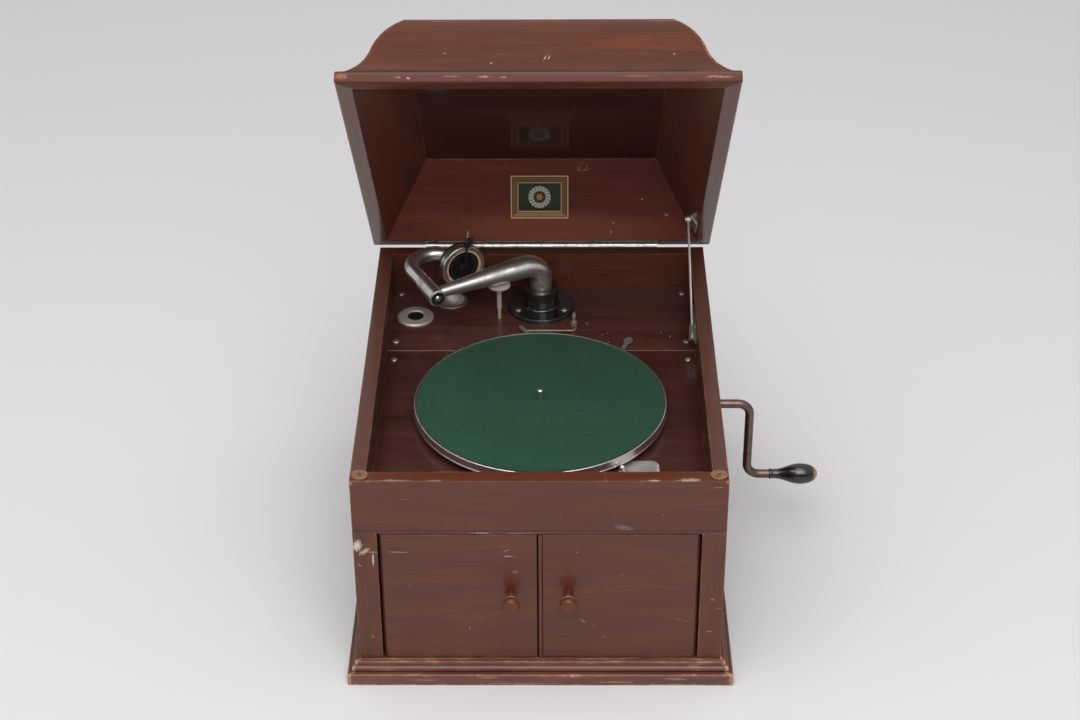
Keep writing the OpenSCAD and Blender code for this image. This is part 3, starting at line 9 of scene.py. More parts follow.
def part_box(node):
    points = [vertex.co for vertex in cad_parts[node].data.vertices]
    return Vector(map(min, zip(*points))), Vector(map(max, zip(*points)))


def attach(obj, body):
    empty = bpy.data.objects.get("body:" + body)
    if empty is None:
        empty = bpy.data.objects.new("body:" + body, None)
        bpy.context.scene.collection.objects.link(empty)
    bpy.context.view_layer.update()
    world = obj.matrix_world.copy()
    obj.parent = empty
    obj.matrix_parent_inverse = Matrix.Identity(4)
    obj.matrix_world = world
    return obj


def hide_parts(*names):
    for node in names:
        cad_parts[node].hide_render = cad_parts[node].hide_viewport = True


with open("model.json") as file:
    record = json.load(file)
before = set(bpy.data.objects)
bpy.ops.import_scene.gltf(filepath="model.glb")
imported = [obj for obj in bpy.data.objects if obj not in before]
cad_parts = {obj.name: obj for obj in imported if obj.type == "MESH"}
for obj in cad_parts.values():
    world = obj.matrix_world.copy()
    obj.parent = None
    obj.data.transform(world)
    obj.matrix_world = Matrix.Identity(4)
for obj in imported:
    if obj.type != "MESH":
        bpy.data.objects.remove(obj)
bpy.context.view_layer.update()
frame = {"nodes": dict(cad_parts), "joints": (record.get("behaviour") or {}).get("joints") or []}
nodes = frame["nodes"]
joints = {joint["name"]: joint for joint in frame["joints"]}


# ------------------------------------------------------ places in the frame
# Places and the sizes in the finishes are in metres, as in the frame. The marks on the wood
# and the sizes of the new pieces are in mm.

def joint_place(name):
    return Vector(joints[name]["pos_m"])


def middle_of(name):
    """The middle of a node's box."""
    low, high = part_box(name)
    return (low + high) / 2


MM = 0.001
HINGE = joint_place("lid_hinge")
LID_OPEN = math.radians(-joints["lid_hinge"]["range_deg"][0])
OPENED = (Matrix.Translation(HINGE) @ Matrix.Rotation(-LID_OPEN, 4, "X")
          @ Matrix.Translation(-HINGE))
CLOSED_LID = [OPENED.inverted() @ vertex.co
              for name in ("lid_front", "lid_rear") for vertex in nodes[name].data.vertices]
LID_LOW = [min(point[axis] for point in CLOSED_LID) for axis in range(2)]
LID_HIGH = [max(point[axis] for point in CLOSED_LID) for axis in range(2)]

NECK_X, NECK_Y, _ = joints["neck_turn"]["axis"]
ARM_PIVOT = joint_place("arm_swing") * Vector((1, 1, 0))
TO_ARM = (Matrix.Translation(ARM_PIVOT)
          @ Matrix.Rotation(math.atan2(NECK_Y, NECK_X), 4, "Z")).inverted()

SPINDLE = joint_place("turntable_spin")
BOARD_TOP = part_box("front_motor_board")[1].z
DOOR_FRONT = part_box("door_left")[0].y


# ------------------------------------------------------------ shader writing

class Value:
    """A socket that can stand in a Python expression."""

    def __init__(self, finish, socket):
        self.finish = finish
        self.socket = socket

    def maths(self, operation, *terms):
        return self.finish.maths(operation, self, *terms)

    def __add__(self, other):
        return self.maths("ADD", other)

    def __radd__(self, other):
        return self.maths("ADD", other)

    def __mul__(self, other):
        return self.maths("MULTIPLY", other)

    def __rmul__(self, other):
        return self.maths("MULTIPLY", other)

    def __sub__(self, other):
        return self.maths("SUBTRACT", other)

    def __rsub__(self, other):
        return self.finish.maths("SUBTRACT", other, self)

    def __truediv__(self, other):
        return self.maths("DIVIDE", other)

    def __pow__(self, other):
        return self.maths("POWER", other)

    def least(self, other):
        return self.maths("MINIMUM", other)

    def most(self, other):
        return self.maths("MAXIMUM", other)

    def size(self):
        return self.maths("ABSOLUTE")

    def step(self, low, high):
        """0 below low and 1 above high, smooth between; falling if high is the lower."""
        return self.finish.node(
            "ShaderNodeMapRange",
            {"interpolation_type": "SMOOTHSTEP"},
            {"Value": self, "From Min": low, "From Max": high},
        )


def reach(first, second):
    """Distance from the point where both values are 0."""
    return (first * first + second * second) ** 0.5


class Finish:
    """One procedural material, or the air round the object."""

    def __init__(self, name, kind=bpy.data.materials, shader="Principled BSDF"):
        self.data = kind.new(name)
        self.data.use_nodes = True
        self.tree = self.data.node_tree
        self.shader = self.tree.nodes[shader]

    def node(self, kind, settings, sockets, out=0):
        made = self.tree.nodes.new(kind)
        for key, value in settings.items():
            if key == "stops":
                ramp = made.color_ramp
                while len(ramp.elements) < len(value):
                    ramp.elements.new(0.5)
                for element, (stop, colour) in zip(ramp.elements, value):
                    element.position = stop
                    element.color = (*colour, 1)
            else:
                setattr(made, key, value)
        for key, value in sockets.items():
            self.plug(made.inputs[key], value)
        return Value(self, made.outputs[out])

    def plug(self, socket, value):
        if isinstance(value, Value):
            self.tree.links.new(value.socket, socket)
        elif socket.type == "RGBA":
            socket.default_value = (*value, 1)
        else:
            socket.default_value = value

    def maths(self, operation, *terms):
        return self.node("ShaderNodeMath", {"operation": operation}, dict(enumerate(terms)))

    def place(self):
        """Object coordinates."""
        return self.node("ShaderNodeTexCoord", {}, {}, out="Object")

    def moved(self, vector, location=(0, 0, 0), rotation=(0, 0, 0), scale=(1, 1, 1)):
        return self.node(
            "ShaderNodeMapping", {},
            {"Vector": vector, "Location": location, "Rotation": rotation, "Scale": scale},
        )

    def on_arm(self):
        """Object coordinates turned so that the parked arm points straight forward."""
        return self.moved(self.place(), TO_ARM.translation, TO_ARM.to_euler())

    def axes(self, vector):
        split = self.node("ShaderNodeSeparateXYZ", {}, {0: vector}).socket.node
        return [Value(self, socket) for socket in split.outputs]

    def noise(self, vector, scale, detail=3.0, rough=0.55, distort=0.0):
        return self.node(
            "ShaderNodeTexNoise", {},
            {"Vector": vector, "Scale": scale, "Detail": detail, "Roughness": rough,
             "Distortion": distort},
        )

    def streaks(self, vector, scale, detail=2.0, rough=0.55, distort=0.0, rotation=(0, 0, 0)):
        """Noise with a scale of its own along each axis."""
        drawn_out = self.moved(vector, rotation=rotation, scale=scale)
        return self.noise(drawn_out, 1.0, detail, rough, distort)

    def mix(self, factor, first, second):
        return self.node("ShaderNodeMix", {"data_type": "RGBA", "clamp_factor": True},
                         {0: factor, 6: first, 7: second}, out=2)

    def ramp(self, factor, tones):
        """A colour between three tones: dark, middle and light."""
        stops = list(zip((0.30, 0.50, 0.72), tones))
        return self.node("ShaderNodeValToRGB", {"stops": stops}, {"Fac": factor})

    def edge_worn(self, depth):
        """Near 1 at outer edges of the solid, within the depth given, and 0 elsewhere."""
        inside = self.node(
            "ShaderNodeAmbientOcclusion", {"inside": True, "only_local": True, "samples": 6},
            {"Distance": depth}, out="AO",
        )
        return 1.0 - inside

    def bump(self, height, strength, distance, edge=0.0):
        """Relief from a height, over edges rounded by the radius given."""
        sockets = {"Height": height, "Strength": strength, "Distance": distance}
        if edge:
            sockets["Normal"] = self.node("ShaderNodeBevel", {"samples": 4}, {"Radius": edge})
        return self.node("ShaderNodeBump", {}, sockets)

    def blot(self, place, middle, half, turn, ragged, full):
        """0 outside an egg-shaped patch, turned about Y, and 1 inside, from the share full."""
        back = Matrix.Rotation(-turn, 3, "Y")
        local = self.moved(place, -(back @ Vector(middle)), (0, -turn, 0))
        gap = (self.noise(place, 650.0, 4, 0.7) - 0.42) * ragged
        for axis, size in zip(self.axes(local), half):
            part = axis / size
            gap = gap + part * part
        return gap.step(1.0, full)

    def set(self, **sockets):
        for key, value in sockets.items():
            self.plug(self.shader.inputs[key.replace("_", " ")], value)
        return self.data


def dress(material, *names):
    """Give CAD nodes a material."""
    for name in names:
        slots = nodes[name].material_slots
        for slot in slots:
            slot.material = material
        if not slots:
            nodes[name].data.materials.append(material)


# ------------------------------------------------------------- mahogany

# Tones of the wood: dark, middle and light.
CASE_TONES = ((0.074, 0.0215, 0.0108), (0.102, 0.0265, 0.0112), (0.150, 0.0350, 0.0125))
# The ledge tones are painted shade: the fascia's top face, deeper and redder than its front.
LEDGE_TONES = ((0.078, 0.0155, 0.0040), (0.098, 0.0195, 0.0052), (0.130, 0.0275, 0.0075))
SIDE_TONES = ((0.072, 0.0210, 0.0115), (0.086, 0.0255, 0.0140), (0.110, 0.0310, 0.0155))
PLINTH_TONES = ((0.074, 0.0215, 0.0108), (0.150, 0.0430, 0.0260), (0.210, 0.0700, 0.0420))
SHADED_TONES = ((0.026, 0.0075, 0.0060), (0.054, 0.0155, 0.0100), (0.080, 0.0245, 0.0150))
REAR_BOARD_TONES = ((0.040, 0.0120, 0.0090), (0.075, 0.0240, 0.0165), (0.105, 0.0350, 0.0240))
LID_FRONT_TONES = ((0.064, 0.0205, 0.0110), (0.102, 0.0265, 0.0112), (0.170, 0.0400, 0.0135))
# The lid's rear tones are painted light: the rear wall lighter than the lid's front wall.
LID_REAR_TONES = ((0.105, 0.0220, 0.0125), (0.145, 0.0305, 0.0165), (0.210, 0.0460, 0.0220))
# The ceiling tones are painted shade: the underside of the lid's top, darker than its outside.
LID_CEILING_TONES = ((0.030, 0.0090, 0.0060), (0.050, 0.0145, 0.0095), (0.078, 0.0230, 0.0140))
LID_ROOF_TONES = ((0.080, 0.0225, 0.0108), (0.102, 0.0265, 0.0112), (0.136, 0.0330, 0.0125))

# Tones of marks and lines.
PALE = (0.62, 0.56, 0.50)
GREY = (0.60, 0.58, 0.60)
RAW_WOOD = (0.42, 0.17, 0.075)
BARE_EDGE = (0.46, 0.27, 0.16)
DEEP_RED = (0.11, 0.016, 0.009)
SHADOW = (0.03, 0.012, 0.008)
SOOT = (0.010, 0.005, 0.004)


def along_grain(axis, lengthwise, across):
    """Scale of a pattern that is drawn out along one axis."""
    return tuple(lengthwise if letter == axis else across for letter in "xyz")


def lid_closed(finish, place):
    """Coordinates of the lid as if it were closed."""
    turn = Matrix.Rotation(LID_OPEN, 3, "X")
    return finish.moved(place, HINGE - turn @ HINGE, (LID_OPEN, 0, 0))


def lid_edge_distance(finish, place):
    """Distance in from the nearest outer side of the closed lid."""
    gaps = [(value - low).least(high - value)
            for value, low, high in zip(finish.axes(place), LID_LOW, LID_HIGH)]
    return gaps[0].least(gaps[1])


def worn_places(finish, spot, along, chip_at):
    """Where the varnish is rubbed through at the edges, and where it is chipped off."""
    edge = finish.edge_worn(0.0035)
    stretched = finish.moved(spot, scale=along_grain(along, 0.45, 1.0))
    ragged = finish.noise(stretched, 62.0, 4, 0.65)
    fine = finish.noise(spot, 260.0, 3, 0.6)
    rubbed = (edge + (ragged - 0.5) * 0.5).step(0.22, 0.55)
    chipped = (edge * 0.55 + ragged * 0.9 + (fine - 0.5) * 0.35).step(chip_at, chip_at + 0.06)
    return rubbed, chipped


def with_lines(finish, place, colour, bands, lines, inward_to):
    """The colour with lines drawn round a board, which waver with its grain.

    A line is its axis, its place there, its width and its tint. Inward_to is how far in from
    the lid's sides the lines reach, where they don't go all the way.
    """
    for axis, level, width, tint in lines:
        gap = (finish.axes(place)["xyz".index(axis)] - level).size() + (bands - 0.5) * 0.0008
        groove = gap.step(width, width * 0.4)
        if inward_to:
            inward = lid_edge_distance(finish, place)
            groove = groove * inward.step(inward_to, inward_to - 0.001)
        colour = finish.mix(groove * 0.9, colour, tint)
    return colour


def with_marks(finish, place, colour, marks):
    """The colour with knocks, stains, filled holes and patches of painted light and shade.

    A mark is the middle and the half sizes of a patch in mm, its turn about Y in degrees, its
    strength and its tint. A soft one also has how ragged it is and where it is full.
    """
    for middle, half, turn, strength, tint, *softness in marks:
        spoiled = finish.blot(place, [c * MM for c in middle], [c * MM for c in half],
                              math.radians(turn), *(softness or (5.0, 0.7)))
        colour = finish.mix(spoiled * strength, colour, tint)
    return colour


def mahogany(name, along, tones=CASE_TONES, shift=0.0, lid=False, above=None, wear=1.0,
             chip_at=0.80, rough=0.36, gloss=0.18, shine=0.42, marks=(), lines=(),
             inward_to=None):
    """Old varnished mahogany, its grain along one axis and its edges rubbed pale.

    The shift moves the grain, so that no two boards are alike. Above is a height with the
    tones from there upwards.
    """
    dark, mid, _ = tones
    made = Finish(name)
    place = made.place()
    if lid:
        place = lid_closed(made, place)
    spot = made.moved(place, (shift, shift * 0.7, shift * 1.3))
    bands = made.streaks(spot, along_grain(along, 1.6, 34), 5, 0.58, 0.35)
    pores = made.streaks(spot, along_grain(along, 9, 420), 2, 0.5).step(0.45, 0.35) * 0.22
    flame = made.streaks(spot, along_grain(along, 7, 60), 3, 0.55, 0.6)
    cloud = made.noise(spot, 5.0, 2, 0.5).step(0.40, 0.62) * 0.35
    scratches = made.streaks(spot, (190, 14, 190), 2, 0.5, rotation=(0.4, 0.3, 0.7))
    scratches = scratches.step(0.735, 0.76)
    specks = made.noise(spot, 240.0, 1, 0.4).step(0.80, 0.83)
    rubbed, chipped = worn_places(made, spot, along, chip_at)

    tone = bands * 0.34 + flame * 0.66
    colour = made.ramp(tone, tones)
    if above:
        start, upper_tones = above
        is_above = made.axes(place)[2].step(start, start + 0.0005)
        colour = made.mix(is_above, colour, made.ramp(tone, upper_tones))
    colour = made.mix(cloud, colour, tuple(c * 0.80 for c in mid))
    colour = made.mix(pores, colour, tuple(c * 0.45 for c in dark))
    colour = made.mix((scratches * 0.5 + specks) * (0.34 * wear), colour, (0.36, 0.20, 0.13))
    colour = made.mix(rubbed * min(1.0, 0.45 * wear), colour, (0.19, 0.062, 0.033))
    colour = made.mix(chipped * min(1.0, 0.7 * wear), colour, BARE_EDGE)
    colour = with_lines(made, place, colour, bands, lines, inward_to)
    colour = with_marks(made, place, colour, marks)
    roughness = rough + bands * 0.08 + flame * 0.10 - scratches * 0.05 + rubbed * 0.12
    height = bands * 0.3 - pores + made.noise(spot, 24.0, 2) * 0.3
    return made.set(
        Base_Color=colour, Roughness=roughness, Normal=made.bump(height, 0.2, 0.0005, 0.0009),
        Coat_Weight=gloss, Coat_Roughness=0.10, IOR=1.5, Specular_IOR_Level=shine,
    )


def front_marks(*marks):
    """Marks on the flat front: x, z, half width, half height, turn, strength and tint."""
    front = DOOR_FRONT / MM
    return tuple(((x, front, z), (wide, 2, high), turn, strength, tint)
                 for x, z, wide, high, turn, strength, tint in marks)


FASCIA_MARKS = (
    ((-211, -261.5, 284), (4, 6, 3), 0, 0.9, RAW_WOOD),
    ((211, -261.5, 285), (3, 6, 2.5), 0, 0.8, RAW_WOOD),
    ((-162, -261, 287.2), (24, 3, 0.7), 0, 0.32, PALE),
    ((-117, -261, 287.2), (12, 3, 0.6), 0, 0.3, PALE),
    ((129, -261, 287.0), (8, 3, 0.8), 0, 0.55, PALE),
    ((168, -260, 287.4), (15, 5, 1.2), 0, 0.55, PALE),
) + front_marks(
    (-66, 214.4, 14, 0.9, 0, 0.6, PALE),
    (-20, 214.2, 26, 0.6, -1, 0.4, PALE),
    (96, 222, 13, 4.5, 12, 0.28, (0.30, 0.30, 0.36)),
    (-150, 262, 8, 0.4, 3, 0.3, PALE),
    (24, 240, 0.5, 1.2, -20, 0.5, PALE),
    (140, 240, 2.0, 0.4, 40, 0.5, PALE),
    (200, 278, 9, 0.5, -4, 0.4, PALE),
)
STILE_MARKS = front_marks(
    (-208, 196, 6.5, 9.5, 10, 0.9, (0.70, 0.62, 0.48)),
    (-200, 188, 9, 3.5, -38, 0.6, (0.66, 0.60, 0.50)),
    (-190.5, 176, 1.6, 11, 2, 0.75, GREY),
    (-189, 187, 15, 0.8, 0, 0.55, GREY),
    (-206, 168, 3.5, 0.8, 40, 0.6, PALE),
    (-196, 62, 2.2, 1.6, 0, 0.8, RAW_WOOD),
    (200, 118, 4.5, 1.6, 20, 0.7, RAW_WOOD),
    (206, 104, 6.5, 1.0, -4, 0.7, RAW_WOOD),
    (198, 70, 5, 1.4, 14, 0.7, RAW_WOOD),
)
LEFT_DOOR_MARKS = front_marks(
    # Painted reflection of the knob: a dark red spot round its foot; below it, a painted shadow.
    (-33.2, 139, 7.5, 8.5, 0, 0.8, DEEP_RED),
    (-33.2, 124, 14, 9, 0, 0.3, SHADOW),
    (-35, 181, 8, 1.1, 0, 0.65, (0.52, 0.38, 0.26)),
    (-38, 189, 6, 0.6, -25, 0.5, PALE),
    (-28, 158, 5, 3.5, 0, 0.3, (0.34, 0.26, 0.22)),
    (-162, 187, 14, 0.7, 3, 0.5, GREY),
    (-70, 92, 4.5, 0.5, 60, 0.6, RAW_WOOD),
    (-82, 75, 0.6, 3.2, -20, 0.5, PALE),
    (-150, 139, 1.0, 0.8, 0, 0.6, PALE),
)
RIGHT_DOOR_MARKS = front_marks(
    # Painted reflection of the knob: a dark red spot round its foot; below it, a painted shadow.
    (33.2, 139, 7.5, 8.5, 0, 0.8, DEEP_RED),
    (33.2, 124, 14, 9, 0, 0.3, SHADOW),
    (50, 86, 5.5, 0.5, 42, 0.7, PALE),
    (62, 77, 5.5, 0.5, -50, 0.7, RAW_WOOD),
    (162, 88, 5, 0.8, 0, 0.6, RAW_WOOD),
    (170, 86, 5, 0.6, 0, 0.6, RAW_WOOD),
    (43, 187, 1.0, 0.7, 0, 0.6, PALE),
    (95, 153, 0.7, 1.0, 0, 0.6, PALE),
    (75, 62, 4, 0.5, 10, 0.5, PALE),
)
PLINTH_MARKS = (
    ((-226, -275, 6), (5, 12, 8), 0, 0.9, RAW_WOOD),
    ((226, -275, 8), (6, 14, 10), 0, 0.9, RAW_WOOD),
    ((222, -270, 34), (5, 12, 6), 0, 0.8, RAW_WOOD),
    ((-120, -276, 22), (22, 4, 3.5), 0, 0.75, (0.36, 0.15, 0.08)),
    ((-136, -276, 8), (24, 4, 2.5), 0, 0.5, (0.36, 0.17, 0.10)),
    ((15, -276, 20), (9, 4, 3), 20, 0.75, (0.50, 0.30, 0.18)),
    ((-60, -276, 12), (13, 4, 1.6), 0, 0.6, (0.50, 0.30, 0.18)),
    ((90, -276, 5), (30, 4, 1.6), 0, 0.6, BARE_EDGE),
    ((160, -276, 10), (16, 4, 2.2), 4, 0.6, BARE_EDGE),
    ((-20, -276, 3), (60, 4, 1.2), 0, 0.5, BARE_EDGE),
    ((40, -268, 42), (5, 6, 1.6), 0, 0.8, (0.60, 0.40, 0.26)),
    ((-175, -268, 42), (16, 6, 1.2), 0, 0.5, BARE_EDGE),
    ((-112, -272, 33), (6, 5, 2), 0, 0.7, PALE),
)
REAR_BOARD_MARKS = tuple(
    ((x, y, BOARD_TOP / MM), (half, half * 1.6, 2), 0, 0.75, PALE)
    for x, y, half in ((78, 124, 1.1), (85, 128, 0.9), (86, 106, 0.8), (153, 129, 1.0),
                       (164, 119, 1.1), (58.5, 151, 1.3))
)
LID_REAR_MARKS = (
    # Painted light: a broad, lighter red patch low on the wall.
    ((10, 240, 300), (190, 34, 30), 0, 0.6, (0.30, 0.085, 0.050), 0.5, 0.0),
    ((-69.3, 200.2, 370.7), (6.5, 5, 6), 0, 0.35, (0.40, 0.24, 0.20)),
    ((-69.3, 200.2, 370.7), (5, 5, 4.4), 0, 0.85, DEEP_RED),
    ((54.3, 199.0, 372.7), (8, 6, 7), 0, 0.45, (0.45, 0.28, 0.23)),
    ((54.3, 199.0, 372.7), (6, 6, 5), 0, 0.9, DEEP_RED),
    ((57.5, 201.0, 369.5), (1.0, 4, 0.8), 0, 0.9, PALE),
    ((48, 201, 369.5), (1.0, 4, 0.8), 0, 0.9, PALE),
    ((131, 220, 336), (1.2, 3, 1.2), 0, 0.9, PALE),
    ((163, 231, 318), (3.2, 3, 2.0), 20, 0.5, PALE),
    ((94, 236, 309), (1.0, 3, 1.6), 0, 0.7, PALE),
    ((91, 242, 299), (0.7, 3, 2.6), 5, 0.7, PALE),
)
LID_FRONT_MARKS = (
    ((8, -242, 332), (0.7, 6, 7.0), 26, 0.9, PALE),
    ((12, -242, 332), (0.7, 6, 6.0), 22, 0.8, PALE),
    ((-52, -246, 322), (1.5, 5, 1.3), 0, 0.8, PALE),
    ((-104, -236, 338), (1.2, 5, 1.0), 0, 0.7, PALE),
    ((120, -222, 352), (0.8, 8, 3.0), 30, 0.6, PALE),
    ((150, -238, 336), (1.4, 5, 1.2), 0, 0.6, PALE),
    ((185, -270, 303), (30, 3, 1.3), 0, 0.7, RAW_WOOD),
    ((-150, -270, 304), (48, 3, 1.0), 0, 0.6, RAW_WOOD),
    ((-214, -270, 296), (9, 5, 4), 0, 0.8, (0.34, 0.12, 0.055)),
    ((-152, -270.5, 295), (3.5, 3, 1.1), 0, 0.7, (0.50, 0.27, 0.20)),
    ((-141, -270.5, 294), (3, 3, 1.3), 0, 0.8, (0.60, 0.33, 0.20)),
    ((-94, -270.5, 296), (13, 3, 1.2), 0, 0.5, (0.40, 0.18, 0.12)),
    ((-58, -270.5, 295.5), (9, 3, 1.4), 0, 0.6, (0.50, 0.26, 0.19)),
    ((-38, -270.5, 295), (5, 3, 1.0), 0, 0.6, (0.50, 0.26, 0.19)),
    ((110, -270.5, 296), (26, 3, 1.2), 0, 0.45, (0.38, 0.15, 0.09)),
    ((196, -270.5, 295), (20, 3, 1.8), 0, 0.6, (0.42, 0.20, 0.12)),
)

FASCIA_LINES = (
    ("z", 0.2130, 0.0012, SOOT),
    ("z", 0.2173, 0.0012, (0.030, 0.011, 0.010)),
)
BOARD_JOINT_LINES = (("y", 0.0862, 0.0011, (0.30, 0.17, 0.11)),)
LID_LINES = (
    ("z", 0.2930, 0.0066, (0.085, 0.0185, 0.0090)),
    ("z", 0.2998, 0.0020, (0.095, 0.050, 0.040)),
    # Painted shadows: the two soot lines, at the steps of the lid's moulding.
    ("z", 0.3024, 0.0013, SOOT),
    ("z", 0.3068, 0.0010, SOOT),
)
# Painted shade: a soot line along the edge of the lid's top panel.
LID_ROOF_LINES = (("z", 0.3930, 0.0010, SOOT),)
LID_LINES_INWARD_TO = 0.0115
LEDGE_FROM = 0.2866
LID_ROOF_FROM = 0.3900

dress(mahogany("fascia_wood", "x", above=(LEDGE_FROM, LEDGE_TONES), marks=FASCIA_MARKS,
               lines=FASCIA_LINES), "front_fascia")
dress(mahogany("frame_wood", "z", shift=0.4, marks=STILE_MARKS), "door_frame")
for hand, grain_shift, door_marks in (("left", 0.9, LEFT_DOOR_MARKS),
                                      ("right", 1.7, RIGHT_DOOR_MARKS)):
    dress(mahogany(f"{hand}_door_wood", "x", shift=grain_shift, wear=0.6, marks=door_marks),
          f"door_{hand}")
dress(mahogany("bead_wood", "z", shift=1.1, rough=0.3), "door_bead")
dress(mahogany("side_wood", "y", SIDE_TONES, shift=2.3, gloss=0.3, shine=0.5),
      "side_left", "side_right")
dress(mahogany("back_wood", "x", shift=3.1, shine=0.3), "back_panel")
dress(mahogany("plinth_wood", "x", PLINTH_TONES, shift=3.7, wear=1.5, chip_at=0.64, shine=0.6,
               marks=PLINTH_MARKS), "plinth_front")
dress(mahogany("plinth_side_wood", "y", shift=4.4, wear=1.6, chip_at=0.72), "plinth_sides")
dress(mahogany("board_wood", "x", SHADED_TONES, shift=5.2, wear=0.7, rough=0.30, shine=0.35),
      "front_motor_board")
dress(mahogany("rear_board_wood", "x", REAR_BOARD_TONES, shift=5.9, rough=0.34, shine=0.5,
               marks=REAR_BOARD_MARKS, lines=BOARD_JOINT_LINES), "rear_motor_board")
dress(mahogany("baffle_wood", "x", SHADED_TONES, shift=6.0, wear=0.2), "horn_baffle")

dress(mahogany("lid_front_wood", "x", LID_FRONT_TONES, shift=7.1, lid=True, wear=0.9,
               chip_at=0.90, gloss=0.10, shine=0.2, marks=LID_FRONT_MARKS, lines=LID_LINES,
               inward_to=LID_LINES_INWARD_TO), "lid_front")
dress(mahogany("lid_rear_wood", "x", LID_REAR_TONES, shift=8.3, lid=True, wear=0.5,
               gloss=0.08, shine=0.16, marks=LID_REAR_MARKS, lines=LID_LINES,
               inward_to=LID_LINES_INWARD_TO), "lid_rear")
dress(mahogany("lid_side_wood", "y", shift=9.7, lid=True, wear=0.7, gloss=0.6, shine=0.5,
               lines=LID_LINES, inward_to=LID_LINES_INWARD_TO), "lid_left", "lid_right")
dress(mahogany("lid_top_wood", "x", LID_CEILING_TONES, shift=11.2, lid=True,
               above=(LID_ROOF_FROM, LID_ROOF_TONES), wear=0.4, gloss=0.7, shine=0.2,
               lines=LID_ROOF_LINES), "lid_top")


# ------------------------------------------------- metal, felt, rubber, paint

def nickel(name, bright, gone, amount=0.5, rough=0.27, cloud_scale=34.0, spots=0.0, metal=1.0):
    """Worn nickel or steel: bright where it is handled, brown where the plate has gone."""
    made = Finish(name)
    place = made.place()
    cloud = made.noise(place, cloud_scale, 4, 0.55)
    fine = made.noise(place, cloud_scale * 9, 3, 0.6)
    lost = (cloud * 0.8 + fine * 0.2).step(0.46, 0.68) * amount
    streak = made.streaks(place, (900, 70, 900), rotation=(0.5, 0.2, 0.9))
    colour = made.mix(lost, bright, gone)
    pits = made.noise(place, 420.0, 3, 0.65).step(0.60, 0.70) * spots
    colour = made.mix(pits, colour, (0.10, 0.075, 0.055))
    roughness = rough + lost * 0.16 + pits * 0.3 + streak.step(0.5, 0.8) * 0.10 + fine * 0.06
    return made.set(
        Base_Color=colour, Metallic=metal - pits * 0.5, Roughness=roughness,
        Normal=made.bump(fine * 0.5 + streak * 0.5 - pits, 0.10, 0.0003),
    )


def japan(name):
    """Black japanned metal with dust and rubbed places."""
    made = Finish(name)
    place = made.place()
    dust = made.noise(place, 90.0, 4, 0.6)
    rubbed = made.noise(place, 700.0, 2, 0.5)
    colour = made.mix(dust.step(0.5, 0.8) * 0.3 + rubbed.step(0.72, 0.80) * 0.25,
                      (0.009, 0.009, 0.010), (0.07, 0.066, 0.062))
    return made.set(Base_Color=colour, Roughness=0.14 + dust * 0.14, Coat_Weight=0.8,
                    Coat_Roughness=0.07, Normal=made.bump(dust, 0.05, 0.0004))


def felt_cloth(name):
    """Dark green wool felt, matted and speckled with lint."""
    made = Finish(name)
    place = made.place()
    fibre = made.noise(place, 1500.0, 3, 0.7)
    matted = made.noise(place, 160.0, 4, 0.65)
    cloud = made.noise(place, 14.0, 3, 0.55)
    lint = made.noise(place, 900.0, 1, 0.3).step(0.765, 0.80)
    colour = made.mix(matted * 0.6 + fibre * 0.4, (0.010, 0.042, 0.021), (0.024, 0.078, 0.043))
    colour = made.mix(cloud.step(0.42, 0.68) * 0.25, colour, (0.028, 0.084, 0.048))
    colour = made.mix(lint * 0.5, colour, (0.20, 0.24, 0.18))
    return made.set(
        Base_Color=colour, Roughness=0.95, Specular_IOR_Level=0.1, Sheen_Weight=0.08,
        Sheen_Roughness=0.5, Normal=made.bump(fibre * 0.6 + matted, 0.5, 0.0008),
    )


def plain(name, colour, second, scale, rough, metallic=0.0):
    """A finish of two near tones, for small or hidden pieces."""
    made = Finish(name)
    place = made.place()
    cloud = made.noise(place, scale, 4, 0.6)
    fine = made.noise(place, scale * 12, 2, 0.5)
    mixed = made.mix(cloud.step(0.35, 0.68) * 0.8 + fine * 0.2, colour, second)
    return made.set(Base_Color=mixed, Metallic=metallic, Roughness=rough + fine * 0.15 - 0.07,
                    Normal=made.bump(fine + cloud, 0.15, 0.0004))


def hinge_plate(name, flat_tone, flat_rough):
    """Nickel-plated hinge, darker between its knuckles, with dull leaves."""
    knuckle, barrel_r, leaf_from = 0.0318, 0.0030, 0.0042
    made = Finish(name)
    place = made.place()
    across, back, high = made.axes(place)
    leaf = reach(back - HINGE.y, high - HINGE.z).step(barrel_r, leaf_from)
    # The count of knuckles stays above 0, and a gap lies at the hinge's middle.
    count = across / knuckle + 20.5
    gap = (made.maths("FRACT", count) - 0.5).size()
    cloud = made.noise(place, 70.0, 3, 0.5)
    # Darker between the knuckles.
    knuckle_gaps = gap.step(0.014, 0.006) * 0.8
    rust = cloud.step(0.55, 0.75) * 0.4
    colour = made.mix(rust, (0.66, 0.64, 0.61), (0.36, 0.30, 0.23))
    colour = made.mix(leaf * 0.9, colour, flat_tone)
    colour = made.mix(knuckle_gaps * (1.0 - leaf), colour, (0.05, 0.035, 0.025))
    return made.set(
        Base_Color=colour, Metallic=1.0 - knuckle_gaps * 0.7,
        Roughness=0.22 + rust * 0.3 + leaf * flat_rough, Normal=made.bump(cloud, 0.01, 0.0003),
    )


